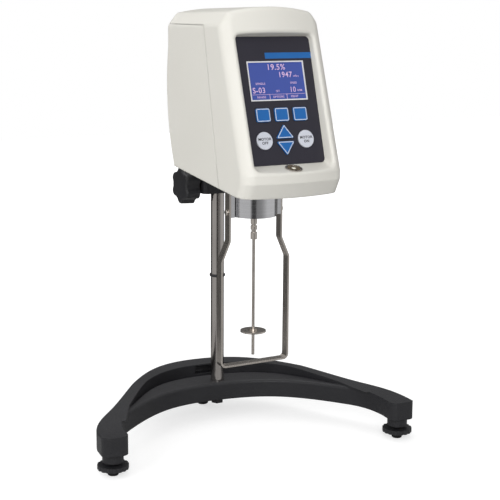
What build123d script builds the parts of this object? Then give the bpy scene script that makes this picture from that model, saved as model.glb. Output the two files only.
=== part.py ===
"""Rotational viscometer on its lab stand, in millimetres.

The origin is the point of the bench under the spindle, +Z is up and the display faces -Y.
The head is square to the axes; the stand is turned a little under it, about the column.
"""
from build123d import *
from math import acos, atan2, cos, degrees, hypot, pi, radians, sin, tan
import os

os.makedirs("parts", exist_ok=True)

# ---------------------------------------------------------------- driving dimensions
running = 0.06              # radial clearance of a shaft in its bearing
seat = 0.3                  # gap between pieces that move past each other
flush = 0.15                # half the width of a seam between two covers

# stand
column_x = 13.3             # column axis, to the right of the spindle
column_y = 105.0            # column axis, behind the spindle
column_d = 14.8
column_top = 385.0
stand_turn = -7.9           # degrees that the stand is turned about the column
foot_x = 159.4              # levelling feet, to each side of the column
foot_y = -134.4             # levelling feet, in front of the column
rear_foot_y = 50.0          # fixed foot, behind the column
rear_foot_r = 6.5
casting_bottom = 23.5
casting_top = 43.5
rear_rise = 8.5             # how far the rear rail stands above the front rail
arm_width = 27.5
arm_end = 14.5              # arm beyond the foot's axis
rear_apex = 62.0            # outer edge of the rear rail, behind the column
front_apex = -14.0          # front edge of the front rail
trench_front = 19.0
trench_rear = 36.0
trench_floor = 30.0
rim_round = 3.0
recess_half = 14.0
recess_depth = 10.0
recess_low = 41.0
recess_high = 50.0
socket_floor = 30.5         # foot of the column inside the casting

# levelling screws
boss_d = 21.5
boss_bottom = 14.0
thread_d = 8.0
wheel_d = 31.7
wheel_z = 9.1
wheel_t = 4.6
wheel_scallops = 16
pad_d = 11.0
pad_t = 4.5

pad_pin_d = 4.0
pad_pin_h = 3.0
thread_top = 33.0
thread_hole = 24.0

# rack on the column
rack_low = 150.0
rack_high = 378.0
backlash = 0.12             # taken off each side of a tooth

# clamp that climbs the column
clamp_low = 259.0
clamp_high = 322.0
clamp_left = -9.5
clamp_right = 28.0
clamp_front = 91.5
clamp_rear = 128.0
liner_t = 1.6
liner_top = 301.0
module = 1.0
pinion_teeth = 12
pinion_z = 267.0
pinion_length = 13.0
shaft_d = 8.0
knob_d = 42.0
knob_length = 16.0
knob_lobes = 6
pinion_bore = 8.0           # radius of the bore that holds the pinion
bush_length = 9.0
knob_right = -12.0
lock_d = 6.0
lock_y = 118.5
tension_d = 6.0
tension_z = 290.0
slit_h = 1.6
rod_start = 54.0
rod_d = 9.5
rod_above = 14.0            # mounting rod's axis, above the underside of the chassis shelf
ring_z = 165.2              # stop ring on the column
ring_t = 3.0

# head
head_half = 56.0
wall = 3.0
face_top_y = -38.0          # centre of the front face at face_top_z
face_top_z = 450.0
face_low_y = -88.0
face_low_z = 302.0
crease_z = 293.5
bow_depth = 8.0             # how far the front bows forward of its corners
front_corner = 14.0
crease_rear = 440.0         # crease between the upright side and the band under the roof
crease_front = 443.0
ridge_half = 46.0
ridge_rear = 452.0
ridge_front = 457.0
roof_round = 8.0            # rounding where the roof meets the front and the sides
rear_corner = 8.0
lip_round = 3.0             # rounding of the lip round the panel
corner_reach = 0.4          # how far the back's form is drawn past the sides before it is trimmed
side_reach = 6.0            # the same for the roof's form
form_end = 110.0            # half the length of the roof's form before it is trimmed
chin_back = 9.0             # how far the chin falls back below the crease
chin_bottom = 277.0
bottom_front = (-88.0, 277.2)
bottom_rear = (77.0, 296.0)
back_middle = (92.0, 360.0)
back_top = (84.0, 442.0)
roof_rear_z = 457.0
roof_front_z = 461.5
seam_low = (-32.7, 280.5)
seam_high = (3.4, 436.0)
seam_top_z = 441.5
plate_t = 4.0               # bottom plate

# control panel
panel_top = (-31.95, 431.2)
panel_low = (-67.2, 309.2)
panel_half = 42.5
panel_r = 4.5
overlay_t = 0.8
floor_t = 3.0
ledge_lip = (-87.0, 304.0)
side_flare = 2.5            # how far the panel's side walls open outwards at the lip
level_d = 16.8
level_h = 5.0
level_y = -77.2             # bubble level, on the ledge under the panel
lcd_half = 32.0
lcd_from = 24.5
lcd_to = 63.8
soft_key = (15.6, 13.4)
soft_key_pitch = 20.9
soft_key_at = 77.7
arrow_half = 10.1
arrow_height = 13.9
arrow_up_at = 94.3
arrow_down_at = 111.1
round_key_d = 17.4
round_key_x = 23.4
round_key_at = 102.7
key_travel = 0.4
key_proud = 1.2
key_lip = 0.7

# measuring head
collar_d = 46.0
collar_bottom = 249.2
leg_width = 9.5             # guard leg strip, along Y
leg_t = 2.0
leg_upper_half = 31.3
leg_lower_half = 40.5
leg_knee_high = 225.0
leg_knee_low = 204.0
leg_bottom = 92.1
leg_bend = 6.0
screw_above = 5.3           # guard leg's screws, above the collar's lower face
spindle_end = 101.1
disc_top = 127.6
disc_t = 1.65
disc_d = 26.8
stem_d = 3.2
coupling_d = 6.4
coupling_gap = 1.7
coupling_length = 23.1

lcd_rim = 1.3
lcd_proud = 0.3
lcd_depth = 7.0
keypad_half = 38.0
keypad_from = 67.0
keypad_to = 123.0
level_rim = 0.6
lug_height = 32.8
lug_margin = 1.0
cup_t = 6.0
jewel_d = 10.0
screw_depth = 5.0
hub_r = 4.5
hub_h = 2.0

# internals
board_gap = 3.0
main_board_x = 20.0
hub_d = 8.0
rocker_rest = 9.0           # degrees that the rocker leans at rest
rocker_y = 81.5
trunnion_r = 1.3            # pins that the rocker turns on
shelf_z = 300.0             # underside of the chassis shelf
shelf_t = 4.0
shelf_front = -40.0
shelf_rear = 66.0
shelf_half = 40.0
back_t = 4.0
back_high = 405.0
bridge_above = 36.0         # motor bridge, above the underside of the shelf
bridge_t = 4.0
pillar_x = 29.0
pillar_y = 24.0
motor_d = 44.0
motor_h = 42.0
drum_d = 38.0
drum_above = 13.0
drum_h = 14.0
spring_above = 4.0          # hairspring, above the floor of the drum
spring_h = 3.0
spring_t = 0.6
spring_turns = 3
pivot_d = 5.0
flag_above = 7.0            # signal disc, above the underside of the shelf
board_t = 1.6

# rear sockets
pocket_x = 37.5
pocket_half = 14.5
pocket_low = 332.0
pocket_high = 404.0
pocket_y = 84.0             # outer face of the socket panel
inlet_z = 347.0
switch_z = 374.0
data_z = 393.0

inlet_size = (24.0, 19.0)
switch_size = (19.0, 13.0)
data_size = (12.0, 11.0)

# ---------------------------------------------------------------- planes and derived sizes
turn = radians(stand_turn)
rod_z = shelf_z + rod_above
bridge_z = shelf_z + bridge_above
drum_low = shelf_z + drum_above
drum_high = drum_low + drum_h
spring_z = drum_low + spring_above
flag_z = shelf_z + flag_above
screw_z = collar_bottom + screw_above
lug_top = collar_bottom + lug_height
leg_top = lug_top + lug_margin
coupling_top = collar_bottom - coupling_gap
coupling_low = coupling_top - coupling_length
coupling_mid = (coupling_low + coupling_top) / 2
stand = Plane(origin=(column_x, column_y, 0), x_dir=(cos(turn), sin(turn), 0), z_dir=(0, 0, 1))
stand_side = Plane(origin=(column_x, column_y, 0), x_dir=(-sin(turn), cos(turn), 0),
                   z_dir=(cos(turn), sin(turn), 0))
column_r = column_d / 2
pinion_r = module * pinion_teeth / 2
rack_flat = column_r - module                   # milled flat that carries the rack's teeth
pinion_y = column_y + rack_flat - module + pinion_r
rack_pitch = pi * module
panel_run = hypot(panel_low[0] - panel_top[0], panel_low[1] - panel_top[1])
panel_tilt = atan2(panel_top[0] - panel_low[0], panel_top[1] - panel_low[1])
panel_axis = Axis((0, *panel_top), (0, -cos(panel_tilt), sin(panel_tilt)))
panel = Plane(origin=(0, *panel_top), x_dir=(1, 0, 0), z_dir=(0, -cos(panel_tilt), sin(panel_tilt)))
floor_back = overlay_t + floor_t
key_flange = 1.0
trunnion_reach = switch_size[0] / 2 - 0.6
key_back = floor_back + seat + key_flange
board_front = key_back + key_travel + 0.2
ledge_reach = (panel_low[0] - ledge_lip[0]) * cos(panel_tilt) - (panel_low[1] - ledge_lip[1]) * sin(panel_tilt)
ledge_drop = (panel_low[0] - ledge_lip[0]) * sin(panel_tilt) + (panel_low[1] - ledge_lip[1]) * cos(panel_tilt)
ledge_fall = atan2(panel_low[1] - ledge_lip[1], panel_low[0] - ledge_lip[0])
level_z = ledge_lip[1] + (level_y - ledge_lip[0]) * tan(ledge_fall)
level_plane = Plane(origin=(0, level_y, level_z), x_dir=(1, 0, 0), z_dir=(0, -sin(ledge_fall), cos(ledge_fall)))
bottom_slope = (bottom_rear[1] - bottom_front[1]) / (bottom_rear[0] - bottom_front[0])
stem_r = stem_d / 2
lug_mid = (leg_upper_half - leg_t + collar_d / 2 - 3) / 2
foot_places = [(-foot_x, foot_y), (foot_x, foot_y)]


def foot_centre(side):
    """Levelling foot's axis on the bench, side -1 for the left one and 1 for the right one."""
    return stand.from_local_coords(Vector(side * foot_x, foot_y, 0))


rack_steps = range(int((rack_low - pinion_z) / rack_pitch) + 1, int((rack_high - pinion_z) / rack_pitch))
groove_top = rack_pitch / 4 + module * tan(radians(20))         # half the groove's width at the flat
groove_root = rack_pitch / 4 - 1.25 * module * tan(radians(20))
rack_groove = [(1, -groove_top - tan(radians(20))), (1, groove_top + tan(radians(20))),
               (-2.25 * module, groove_root), (-2.25 * module, -groove_root)]

# ================================================================ stand
def half_outline(points, start, end):
    """Smooth curve through the points, with the given directions at its ends."""
    return Spline(*points, tangents=[start, end])


rear_edge = [(0, rear_apex), (90, 11), (144, -68), (foot_x + arm_width / 2, foot_y + 8)]
front_edge = [(0, front_apex), (68, -28), (122, -74), (foot_x - arm_width / 2, foot_y + 8)]
trench_tip = (121, -63)
trench_outer = [(0, trench_rear), (62, 17), trench_tip]
trench_inner = [(0, trench_front), (62, 5), trench_tip]

with BuildPart() as base_casting:
    with BuildSketch(stand.offset(casting_bottom)) as plan:
        with BuildLine():
            outer = half_outline(rear_edge, (1, 0), (0.12, -1))
            inner = half_outline(front_edge, (1, 0), (0.12, -1))
            Polyline(outer @ 1, (foot_x + arm_width / 2, foot_y - arm_end),
                     (foot_x - arm_width / 2, foot_y - arm_end), inner @ 1)
            Line(outer @ 0, inner @ 0)
        make_face()
        fillet(plan.vertices().group_by(Axis.Y)[0], radius=8)
        mirror(about=Plane.YZ)
    extrude(amount=casting_top - casting_bottom)
    with BuildSketch(stand.offset(casting_top)) as crescent:
        with BuildLine():
            outer = half_outline(rear_edge, (1, 0), (0.12, -1))
            pocket = half_outline(trench_outer, (1, 0), (0.6, -1))
            side = Line(pocket @ 1, inner @ 1)
            Polyline(outer @ 1, (foot_x + arm_width / 2, foot_y - arm_end),
                     (foot_x - arm_width / 2, foot_y - arm_end), inner @ 1)
            Line(outer @ 0, pocket @ 0)
        make_face()
        mirror(about=Plane.YZ)
    extrude(amount=rear_rise)
    # the rear rail's top falls to the arms' ends in one long bow
    with BuildSketch(stand_side) as above:
        with BuildLine():
            bow = Spline((foot_y - arm_end - 1, casting_top), (foot_y + 30, casting_top), (-20, casting_top + 7.4),
                         (rear_apex + 5, casting_top + rear_rise))
            Polyline(bow @ 1, (rear_apex + 5, casting_top + 20), (foot_y - arm_end - 1, casting_top + 20), bow @ 0)
        make_face()
    extrude(amount=foot_x + arm_width, both=True, mode=Mode.SUBTRACT)
    # a cast recess in the rail's inner wall, behind the column
    with BuildSketch(stand.offset(recess_low)):
        with Locations((0, trench_rear)):
            RectangleRounded(2 * recess_half, 2 * recess_depth, 2)
    extrude(amount=recess_high - recess_low, mode=Mode.SUBTRACT)
    with BuildSketch(stand.offset(trench_floor)) as trench:
        with BuildLine():
            rear_side = half_outline(trench_outer, (1, 0), (0.6, -1))
            front_side = half_outline(trench_inner, (1, 0), (0.75, -1))
            Line(rear_side @ 0, front_side @ 0)
        make_face()
        mirror(about=Plane.YZ)
    extrude(amount=casting_top, mode=Mode.SUBTRACT)
    with BuildSketch(stand.offset(boss_bottom)):
        with Locations(*foot_places):
            Circle(boss_d / 2)
    extrude(amount=casting_bottom - boss_bottom)
    with BuildSketch(stand.offset(9)):
        with Locations((0, rear_foot_y)):
            Circle(rear_foot_r + 1)
    extrude(amount=casting_bottom - 9, taper=-6)
    with BuildSketch(stand.offset(boss_bottom)):
        with Locations(*foot_places):
            Circle(thread_d / 2 + 2)
    extrude(amount=thread_hole, mode=Mode.SUBTRACT)
    with BuildSketch(stand.offset(socket_floor)):
        Circle(column_r + 0.02)
    extrude(amount=casting_top, mode=Mode.SUBTRACT)
    with BuildSketch(stand.offset(casting_bottom)):
        Circle(4.3)
    extrude(amount=20, mode=Mode.SUBTRACT)
    rims = [(0, rear_apex, casting_top + rear_rise), (0, front_apex, casting_top)]
    fillet([base_casting.edges().sort_by_distance(stand.from_local_coords(Vector(*rim)))[0] for rim in rims],
           radius=rim_round)
base_casting.part.label = "base_casting"
export_step(base_casting.part, "parts/base_casting.step")

with BuildPart() as column:
    with BuildSketch(Plane.XY.offset(socket_floor)):
        with Locations((column_x, column_y)):
            Circle(column_r)
    extrude(amount=column_top - socket_floor)
    chamfer(column.edges().sort_by(Axis.Z)[-1], length=1)
    # the rack: a flat on the rear side, then one groove for each tooth
    with BuildSketch(Plane.XY.offset(rack_low)):
        with Locations((column_x, column_y + rack_flat + column_r / 2)):
            Rectangle(column_d, column_r)
    extrude(amount=rack_high - rack_low, mode=Mode.SUBTRACT)
    with BuildSketch(Plane.YZ.offset(column_x)):
        with Locations(*[(column_y + rack_flat, pinion_z + k * rack_pitch) for k in rack_steps]):
            Polygon(*rack_groove, align=None)
    extrude(amount=column_r, both=True, mode=Mode.SUBTRACT)
    with BuildSketch(Plane.XY.offset(socket_floor)):
        with Locations((column_x, column_y)):
            Circle(3.4)
    extrude(amount=16, mode=Mode.SUBTRACT)
column.part.label = "column"
export_step(column.part, "parts/column.step")

with BuildPart() as column_screw:
    with BuildSketch(Plane.XY.offset(casting_bottom - 6.5)):
        with Locations((column_x, column_y)):
            RegularPolygon(7.2, 6)
    extrude(amount=5)
    with BuildSketch(Plane.XY.offset(casting_bottom - 1.5)):
        with Locations((column_x, column_y)):
            Circle(3.4)
    extrude(amount=20)
column_screw.part.label = "column_screw"
export_step(column_screw.part, "parts/column_screw.step")

with BuildPart() as column_washer:
    with BuildSketch(Plane.XY.offset(casting_bottom - 1.5)):
        with Locations((column_x, column_y)):
            Circle(9)
            Circle(3.6, mode=Mode.SUBTRACT)
    extrude(amount=1.5)
column_washer.part.label = "column_washer"
export_step(column_washer.part, "parts/column_washer.step")

with BuildPart() as stop_ring:
    with BuildSketch(Plane.XY.offset(ring_z - ring_t / 2)):
        with Locations((column_x, column_y)):
            Circle(column_r + 1.4)
            Circle(column_r, mode=Mode.SUBTRACT)
    extrude(amount=ring_t)
    fillet(stop_ring.edges().filter_by(GeomType.CIRCLE).sort_by(SortBy.RADIUS)[-2:], radius=0.9)
stop_ring.part.label = "stop_ring"
export_step(stop_ring.part, "parts/stop_ring.step")

with BuildPart() as rear_foot:
    with BuildSketch(stand):
        with Locations((0, rear_foot_y)):
            Circle(rear_foot_r)
    extrude(amount=9)
    chamfer(rear_foot.edges().sort_by(Axis.Z)[0], length=1.2)
rear_foot.part.label = "rear_foot"
export_step(rear_foot.part, "parts/rear_foot.step")

with BuildPart() as foot_bushes:
    for side in (-1, 1):
        with BuildSketch(stand.offset(boss_bottom)):
            with Locations((side * foot_x, foot_y)):
                Circle(thread_d / 2 + 2)
                Circle(thread_d / 2 + running, mode=Mode.SUBTRACT)
        extrude(amount=20)
foot_bushes.part.label = "foot_bushes"
export_step(foot_bushes.part, "parts/foot_bushes.step")


def levelling_screw(side):
    """Scalloped wheel on its threaded stud, with a socket below for the pad's ball."""
    place = (side * foot_x, foot_y)
    with BuildPart() as screw:
        with BuildSketch(stand.offset(wheel_z - wheel_t / 2)):
            with Locations(place):
                Circle(wheel_d / 2)
            with Locations(place):
                with PolarLocations(wheel_d / 2 + 0.9, wheel_scallops):
                    Circle(1.9, mode=Mode.SUBTRACT)
        extrude(amount=wheel_t)
        with BuildSketch(stand.offset(pad_t + seat)):
            with Locations(place):
                Circle(wheel_d / 2 - 6)
        extrude(amount=wheel_z - pad_t - seat)
        with BuildSketch(stand.offset(wheel_z)):
            with Locations(place):
                Circle(thread_d / 2)
        extrude(amount=thread_top - wheel_z)
        with BuildSketch(stand.offset(pad_t + seat)):
            with Locations(place):
                Circle(pad_pin_d / 2 + running)
        extrude(amount=pad_pin_h, mode=Mode.SUBTRACT)
    return screw.part


def levelling_pad(side):
    """Pad that stands on the bench, with the pin that its screw turns on."""
    with BuildPart() as pad:
        with BuildSketch(stand):
            with Locations((side * foot_x, foot_y)):
                Circle(pad_d / 2)
        extrude(amount=pad_t)
        chamfer(pad.edges().sort_by(Axis.Z)[0], length=0.6)
        with BuildSketch(stand.offset(pad_t)):
            with Locations((side * foot_x, foot_y)):
                Circle(pad_pin_d / 2)
        extrude(amount=pad_pin_h)
    return pad.part


for name, side in (("left", -1), ("right", 1)):
    screw = levelling_screw(side)
    screw.label = name + "_foot_screw"
    export_step(screw, "parts/" + screw.label + ".step")
    pad = levelling_pad(side)
    pad.label = name + "_foot_pad"
    export_step(pad, "parts/" + pad.label + ".step")

# ================================================================ clamp
with BuildPart() as clamp_block:
    with BuildSketch(Plane.XY.offset(clamp_low)):
        with Locations(((clamp_left + clamp_right) / 2, (clamp_front + clamp_rear) / 2)):
            RectangleRounded(clamp_right - clamp_left, clamp_rear - clamp_front, 5)
    extrude(amount=clamp_high - clamp_low)
    with BuildSketch(Plane.XY.offset(clamp_low)):
        with Locations((column_x, column_y)):
            Circle(column_r + liner_t)
    extrude(amount=liner_top - clamp_low, mode=Mode.SUBTRACT)
    with BuildSketch(Plane.XY.offset(liner_top)):
        with Locations((column_x, column_y)):
            Circle(column_r + seat)
    extrude(amount=clamp_high - liner_top, mode=Mode.SUBTRACT)
    with BuildSketch(Plane.YZ.offset(clamp_left)):
        with Locations((pinion_y, pinion_z)):
            Circle(pinion_bore)
    extrude(amount=column_x + pinion_length / 2 + seat - clamp_left, mode=Mode.SUBTRACT)
    with BuildSketch(Plane.YZ.offset(clamp_left)):
        with Locations((pinion_y, pinion_z)):
            Circle(shaft_d / 2 + running)
    extrude(amount=clamp_right - clamp_left + 1, mode=Mode.SUBTRACT)
    with BuildSketch(Plane.XZ.offset(-clamp_front)):
        with Locations((0, rod_z)):
            Circle(rod_d / 2 + 0.02)
        with Locations((clamp_left / 2, rod_z)):
            Rectangle(-clamp_left, slit_h)
    extrude(amount=-(clamp_rear - clamp_front), mode=Mode.SUBTRACT)
    with BuildSketch(Plane.XY.offset(rod_z)):
        with Locations((0, lock_y)):
            Circle(lock_d / 2 + running)
    extrude(amount=clamp_high - rod_z, mode=Mode.SUBTRACT)
    with BuildSketch(Plane.XZ.offset(-clamp_rear)):
        with Locations((column_x, tension_z)):
            Circle(tension_d / 2)
    extrude(amount=clamp_rear - column_y - column_r - liner_t, mode=Mode.SUBTRACT)
clamp_block.part.label = "clamp_block"
export_step(clamp_block.part, "parts/clamp_block.step")

with BuildPart() as column_liner:
    with BuildSketch(Plane.XY.offset(clamp_low)):
        with Locations((column_x, column_y)):
            Circle(column_r + liner_t)
            Circle(column_r + running, mode=Mode.SUBTRACT)
    extrude(amount=liner_top - clamp_low)
    with BuildSketch(Plane.YZ.offset(clamp_left)):
        with Locations((pinion_y, pinion_z)):
            Circle(pinion_bore)
    extrude(amount=column_x + pinion_length / 2 + seat - clamp_left, mode=Mode.SUBTRACT)
column_liner.part.label = "column_liner"
export_step(column_liner.part, "parts/column_liner.step")

with BuildPart() as tension_screw:
    with BuildSketch(Plane.XZ.offset(-(column_y + column_r + liner_t))):
        with Locations((column_x, tension_z)):
            Circle(tension_d / 2)
    extrude(amount=-(clamp_rear - column_y - column_r - liner_t))
    with BuildSketch(Plane.XZ.offset(-clamp_rear)):
        with Locations((column_x, tension_z)):
            Circle(tension_d)
            RegularPolygon(tension_d / 2, 6, mode=Mode.SUBTRACT)
    extrude(amount=-5)
    with BuildSketch(Plane.XZ.offset(-clamp_rear)):
        with Locations((column_x, tension_z)):
            Circle(tension_d - 0.6)
    extrude(amount=-1.5)
tension_screw.part.label = "tension_screw"
export_step(tension_screw.part, "parts/tension_screw.step")

with BuildPart() as lock_screw:
    with BuildSketch(Plane.XY.offset(rod_z + rod_d / 2 + seat)):
        with Locations((0, lock_y)):
            Circle(lock_d / 2)
    extrude(amount=clamp_high + 6 - rod_z - rod_d / 2 - seat)
    with BuildSketch(Plane.XY.offset(clamp_high + 2)):
        with Locations((0, lock_y)):
            Circle(9)
            with PolarLocations(9.6, 12):
                Circle(1.4, mode=Mode.SUBTRACT)
    extrude(amount=9)
lock_screw.part.label = "lock_screw"
export_step(lock_screw.part, "parts/lock_screw.step")


def gear_flank(radius):
    """Half the angle that a tooth fills at a radius, on an involute of a 20 degree rack."""
    base = pinion_r * cos(radians(20))
    if radius <= base:
        return pi / (2 * pinion_teeth) - backlash / pinion_r + tan(radians(20)) - radians(20)
    roll = tan(acos(base / radius)) - acos(base / radius)
    return pi / (2 * pinion_teeth) - backlash / pinion_r + tan(radians(20)) - radians(20) - roll


tooth_radii = [pinion_r - 1.25 * module, pinion_r - 0.4 * module, pinion_r, pinion_r + 0.5 * module,
               pinion_r + 0.92 * module]
tooth_side = [(r * cos(gear_flank(r)), r * sin(gear_flank(r))) for r in tooth_radii]
tooth = tooth_side + [(x, -y) for x, y in reversed(tooth_side)]

with BuildPart() as lift_pinion:
    with BuildSketch(Plane.YZ.offset(column_x - pinion_length / 2)):
        with Locations((pinion_y, pinion_z)):
            Circle(pinion_r - 1.2 * module)
            with PolarLocations(0, pinion_teeth):
                Polygon(*tooth, align=None)
    extrude(amount=pinion_length)
    with BuildSketch(Plane.YZ.offset(knob_right - knob_length + 3)):
        with Locations((pinion_y, pinion_z)):
            Circle(shaft_d / 2)
    extrude(amount=clamp_right - knob_right + knob_length - 3)
lift_pinion.part.label = "lift_pinion"
export_step(lift_pinion.part, "parts/lift_pinion.step")

with BuildPart() as pinion_bush:
    with BuildSketch(Plane.YZ.offset(clamp_left - 1)):
        with Locations((pinion_y, pinion_z)):
            Circle(pinion_bore)
            Circle(shaft_d / 2 + running, mode=Mode.SUBTRACT)
    extrude(amount=bush_length + 1)
pinion_bush.part.label = "pinion_bush"
export_step(pinion_bush.part, "parts/pinion_bush.step")

with BuildPart() as lift_knob:
    with BuildSketch(Plane.YZ.offset(knob_right)) as lobes:
        with Locations((pinion_y, pinion_z)):
            Circle(knob_d / 2 - 3.4)
            with PolarLocations(knob_d / 2 - 7, knob_lobes, start_angle=90):
                Circle(7)
        fillet(lobes.vertices(), radius=3)
    extrude(amount=-knob_length, taper=3)
    fillet(lift_knob.faces().sort_by(Axis.X)[0].edges(), radius=2.5)
    with BuildSketch(Plane.YZ.offset(clamp_left - 1 - seat)):
        with Locations((pinion_y, pinion_z)):
            Circle(8)
    extrude(amount=knob_right - clamp_left + 1 + seat)
    with BuildSketch(Plane.YZ.offset(knob_right - knob_length + 3)):
        with Locations((pinion_y, pinion_z)):
            Circle(shaft_d / 2)
    extrude(amount=knob_length, mode=Mode.SUBTRACT)
lift_knob.part.label = "lift_knob"
export_step(lift_knob.part, "parts/lift_knob.step")

with BuildPart() as mounting_rod:
    with BuildSketch(Plane.XZ.offset(-rod_start)):
        with Locations((0, rod_z)):
            Circle(rod_d / 2)
    extrude(amount=-(clamp_rear + 3 - rod_start))
    chamfer(mounting_rod.edges().sort_by(Axis.Y)[-1], length=1)
    with BuildSketch(Plane.XZ.offset(-shelf_rear)):
        with Locations((0, rod_z)):
            Circle(rod_d / 2 + 3)
    extrude(amount=-4)
mounting_rod.part.label = "mounting_rod"
export_step(mounting_rod.part, "parts/mounting_rod.step")

with BuildPart() as rod_nut:
    with BuildSketch(Plane.XZ.offset(-(shelf_rear - back_t))):
        with Locations((0, rod_z)):
            RegularPolygon(rod_d * 0.95, 6)
            Circle(rod_d / 2, mode=Mode.SUBTRACT)
    extrude(amount=5)
rod_nut.part.label = "rod_nut"
export_step(rod_nut.part, "parts/rod_nut.step")

# ================================================================ control panel
def key_outlines(grow):
    """Outlines of all seven keys on the panel, each grown all round."""
    with BuildSketch(mode=Mode.PRIVATE) as outlines:
        for name in key_shapes:
            add(key_outline(name, grow))
    return outlines.sketch


def key_outline(name, grow):
    """Outline of one key at its place on the panel, x across and y up from the panel's top."""
    shape, x, down = key_shapes[name]
    with BuildSketch(mode=Mode.PRIVATE) as outline:
        with Locations((x, -down)):
            if shape == "soft":
                RectangleRounded(soft_key[0] + 2 * grow, soft_key[1] + 2 * grow, 2 + grow)
            elif shape == "round":
                Circle(round_key_d / 2 + grow)
            else:
                tip = arrow_height / 2 if shape == "up" else -arrow_height / 2
                Polygon((-arrow_half, -tip), (arrow_half, -tip), (0, tip), align=None)
        if shape in ("up", "down"):
            fillet(outline.vertices(), radius=1)
            offset(amount=grow)
    return outline.sketch


key_shapes = {
    "key_left": ("soft", -soft_key_pitch - 0.5, soft_key_at),
    "key_middle": ("soft", -0.5, soft_key_at),
    "key_right": ("soft", soft_key_pitch - 0.5, soft_key_at),
    "key_up": ("up", 0, arrow_up_at),
    "key_down": ("down", 0, arrow_down_at),
    "key_stop": ("round", -round_key_x, round_key_at),
    "key_start": ("round", round_key_x, round_key_at),
}

# ================================================================ head shells
def front_shift(z):
    """How far the plan outline of the head stands forward of its place at face_low_z."""
    return (face_low_y - face_top_y) * (z - face_low_z) / (face_top_z - face_low_z)


def plan_outline(shift, inset):
    """Plan of the head, bowed at the front, with round front corners and an open rear."""
    front = face_low_y - shift + inset
    half = head_half - inset
    with BuildSketch(mode=Mode.PRIVATE) as outline:
        with BuildLine():
            bow = ThreePointArc((-half, front + bow_depth), (0, front), (half, front + bow_depth))
            Polyline(bow @ 1, (half, 260 - shift), (-half, 260 - shift), bow @ 0)
        make_face()
        fillet(outline.vertices().sort_by(Axis.Y)[:2], radius=front_corner - inset)
    return outline.sketch


def roof_outline(crease, ridge, centre, inset):
    """Front view of the roof: an arch between ridges, and slanted bands that run past the head's sides."""
    half = head_half + side_reach
    low = bottom_front[1] - 40
    edge = ridge_half - inset / 2
    band_slope = (ridge - crease) / (head_half - ridge_half)
    with BuildSketch(mode=Mode.PRIVATE) as outline:
        with BuildLine():
            roof = ThreePointArc((-edge, ridge - inset), (0, centre - inset), (edge, ridge - inset))
            band_end = ridge - inset - band_slope * (half - edge)
            Polyline(roof @ 1, (half, band_end), (half, low), (-half, low), (-half, band_end), roof @ 0)
        make_face()
    return outline.sketch


def side_outline(inset, drop):
    """Side view of the head, with its bowed back; drop lowers the bottom edge."""
    low_front = (face_low_y - 20, bottom_front[1] - (20 - inset) * bottom_slope - drop)
    low_rear = (bottom_rear[0] - inset, bottom_rear[1])
    with BuildSketch(mode=Mode.PRIVATE) as outline:
        with BuildLine():
            back = ThreePointArc(low_rear, (back_middle[0] - inset, back_middle[1]), (back_top[0] - inset, back_top[1]))
            Polyline(back @ 1, (back_top[0] - inset, roof_rear_z + 20), (face_low_y - 20, roof_front_z + 20),
                     low_front, *[(low_rear[0], low_rear[1] - drop) for step in range(1) if drop], low_rear)
        make_face()
    return outline.sketch


def head_form(inset, drop):
    """The head's closed outer form, with every face moved in by inset."""
    with BuildPart() as back_form:
        with BuildSketch(Plane.YZ):
            add(side_outline(inset, drop))
        extrude(amount=head_half - inset + corner_reach, both=True)
        fillet(back_form.edges().filter_by(GeomType.CIRCLE), radius=rear_corner - inset)
    with BuildPart() as form:
        levels = [chin_bottom - 30, crease_z, face_low_z, roof_front_z + 20]
        shifts = [-chin_back * (crease_z - levels[0]) / (crease_z - chin_bottom), 0, 0, front_shift(levels[3])]
        for level, shift in zip(levels, shifts):
            with BuildSketch(Plane.XY.offset(level)):
                add(plan_outline(shift, inset))
        loft(ruled=True)
        with BuildSketch(Plane.XZ.offset(-form_end)):
            add(roof_outline(crease_rear, ridge_rear, roof_rear_z, inset))
        with BuildSketch(Plane.XZ.offset(form_end)):
            add(roof_outline(crease_front, ridge_front, roof_front_z, inset))
        loft(ruled=True, mode=Mode.INTERSECT)
        roof_edges = form.edges().filter_by(lambda edge: (edge @ 0.5).Z > crease_rear - 4 and abs((edge @ 0.5).Y) < form_end
                                            - 10)
        fillet(roof_edges, radius=roof_round - inset)
        add(back_form.part, mode=Mode.INTERSECT)
    return form.part


def panel_pocket(grow, depth, reach):
    """Flared pocket round the control panel, from depth behind the panel to reach in front."""
    flare = reach / ledge_reach
    with BuildPart() as pocket:
        with BuildSketch(panel.offset(-depth)):
            with Locations((0, -panel_run / 2)):
                RectangleRounded(2 * (panel_half + grow), panel_run + 2 * grow, panel_r + grow)
        with BuildSketch(panel.offset(reach)):
            with Locations((0, -(panel_run + flare * ledge_drop) / 2 + flare)):
                RectangleRounded(2 * (panel_half + grow + flare * side_flare), panel_run + 2 * grow + flare * (ledge_drop + 2),
                                 panel_r + grow + flare * 2)
        loft(ruled=True)
    return pocket.part


def cover_region(gap):
    """The part of the head behind the seam and under the roof band."""
    with BuildPart() as region:
        with BuildSketch(Plane.YZ) as profile:
            with BuildLine():
                Polyline((seam_low[0] + gap, seam_low[1] - 20), (seam_high[0] + gap, seam_high[1]),
                         (seam_high[0] + gap + 1.2, seam_top_z - gap), (back_top[0] + 30, seam_top_z - gap),
                         (back_top[0] + 30, seam_low[1] - 20), close=True)
            make_face()
            fillet(profile.vertices().filter_by(lambda v: v.Y > seam_high[1] - 3 and v.X < 50), radius=4)
        extrude(amount=head_half + 10, both=True)
    return region.part


outer_form = head_form(0, 0)
inner_form = head_form(wall, 30)
panel_seat = panel_pocket(wall, floor_back, 30)
panel_opening = panel_pocket(0, overlay_t, 30)

with BuildPart() as hollow:
    add(inner_form)
    add(panel_seat, mode=Mode.SUBTRACT)

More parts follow.
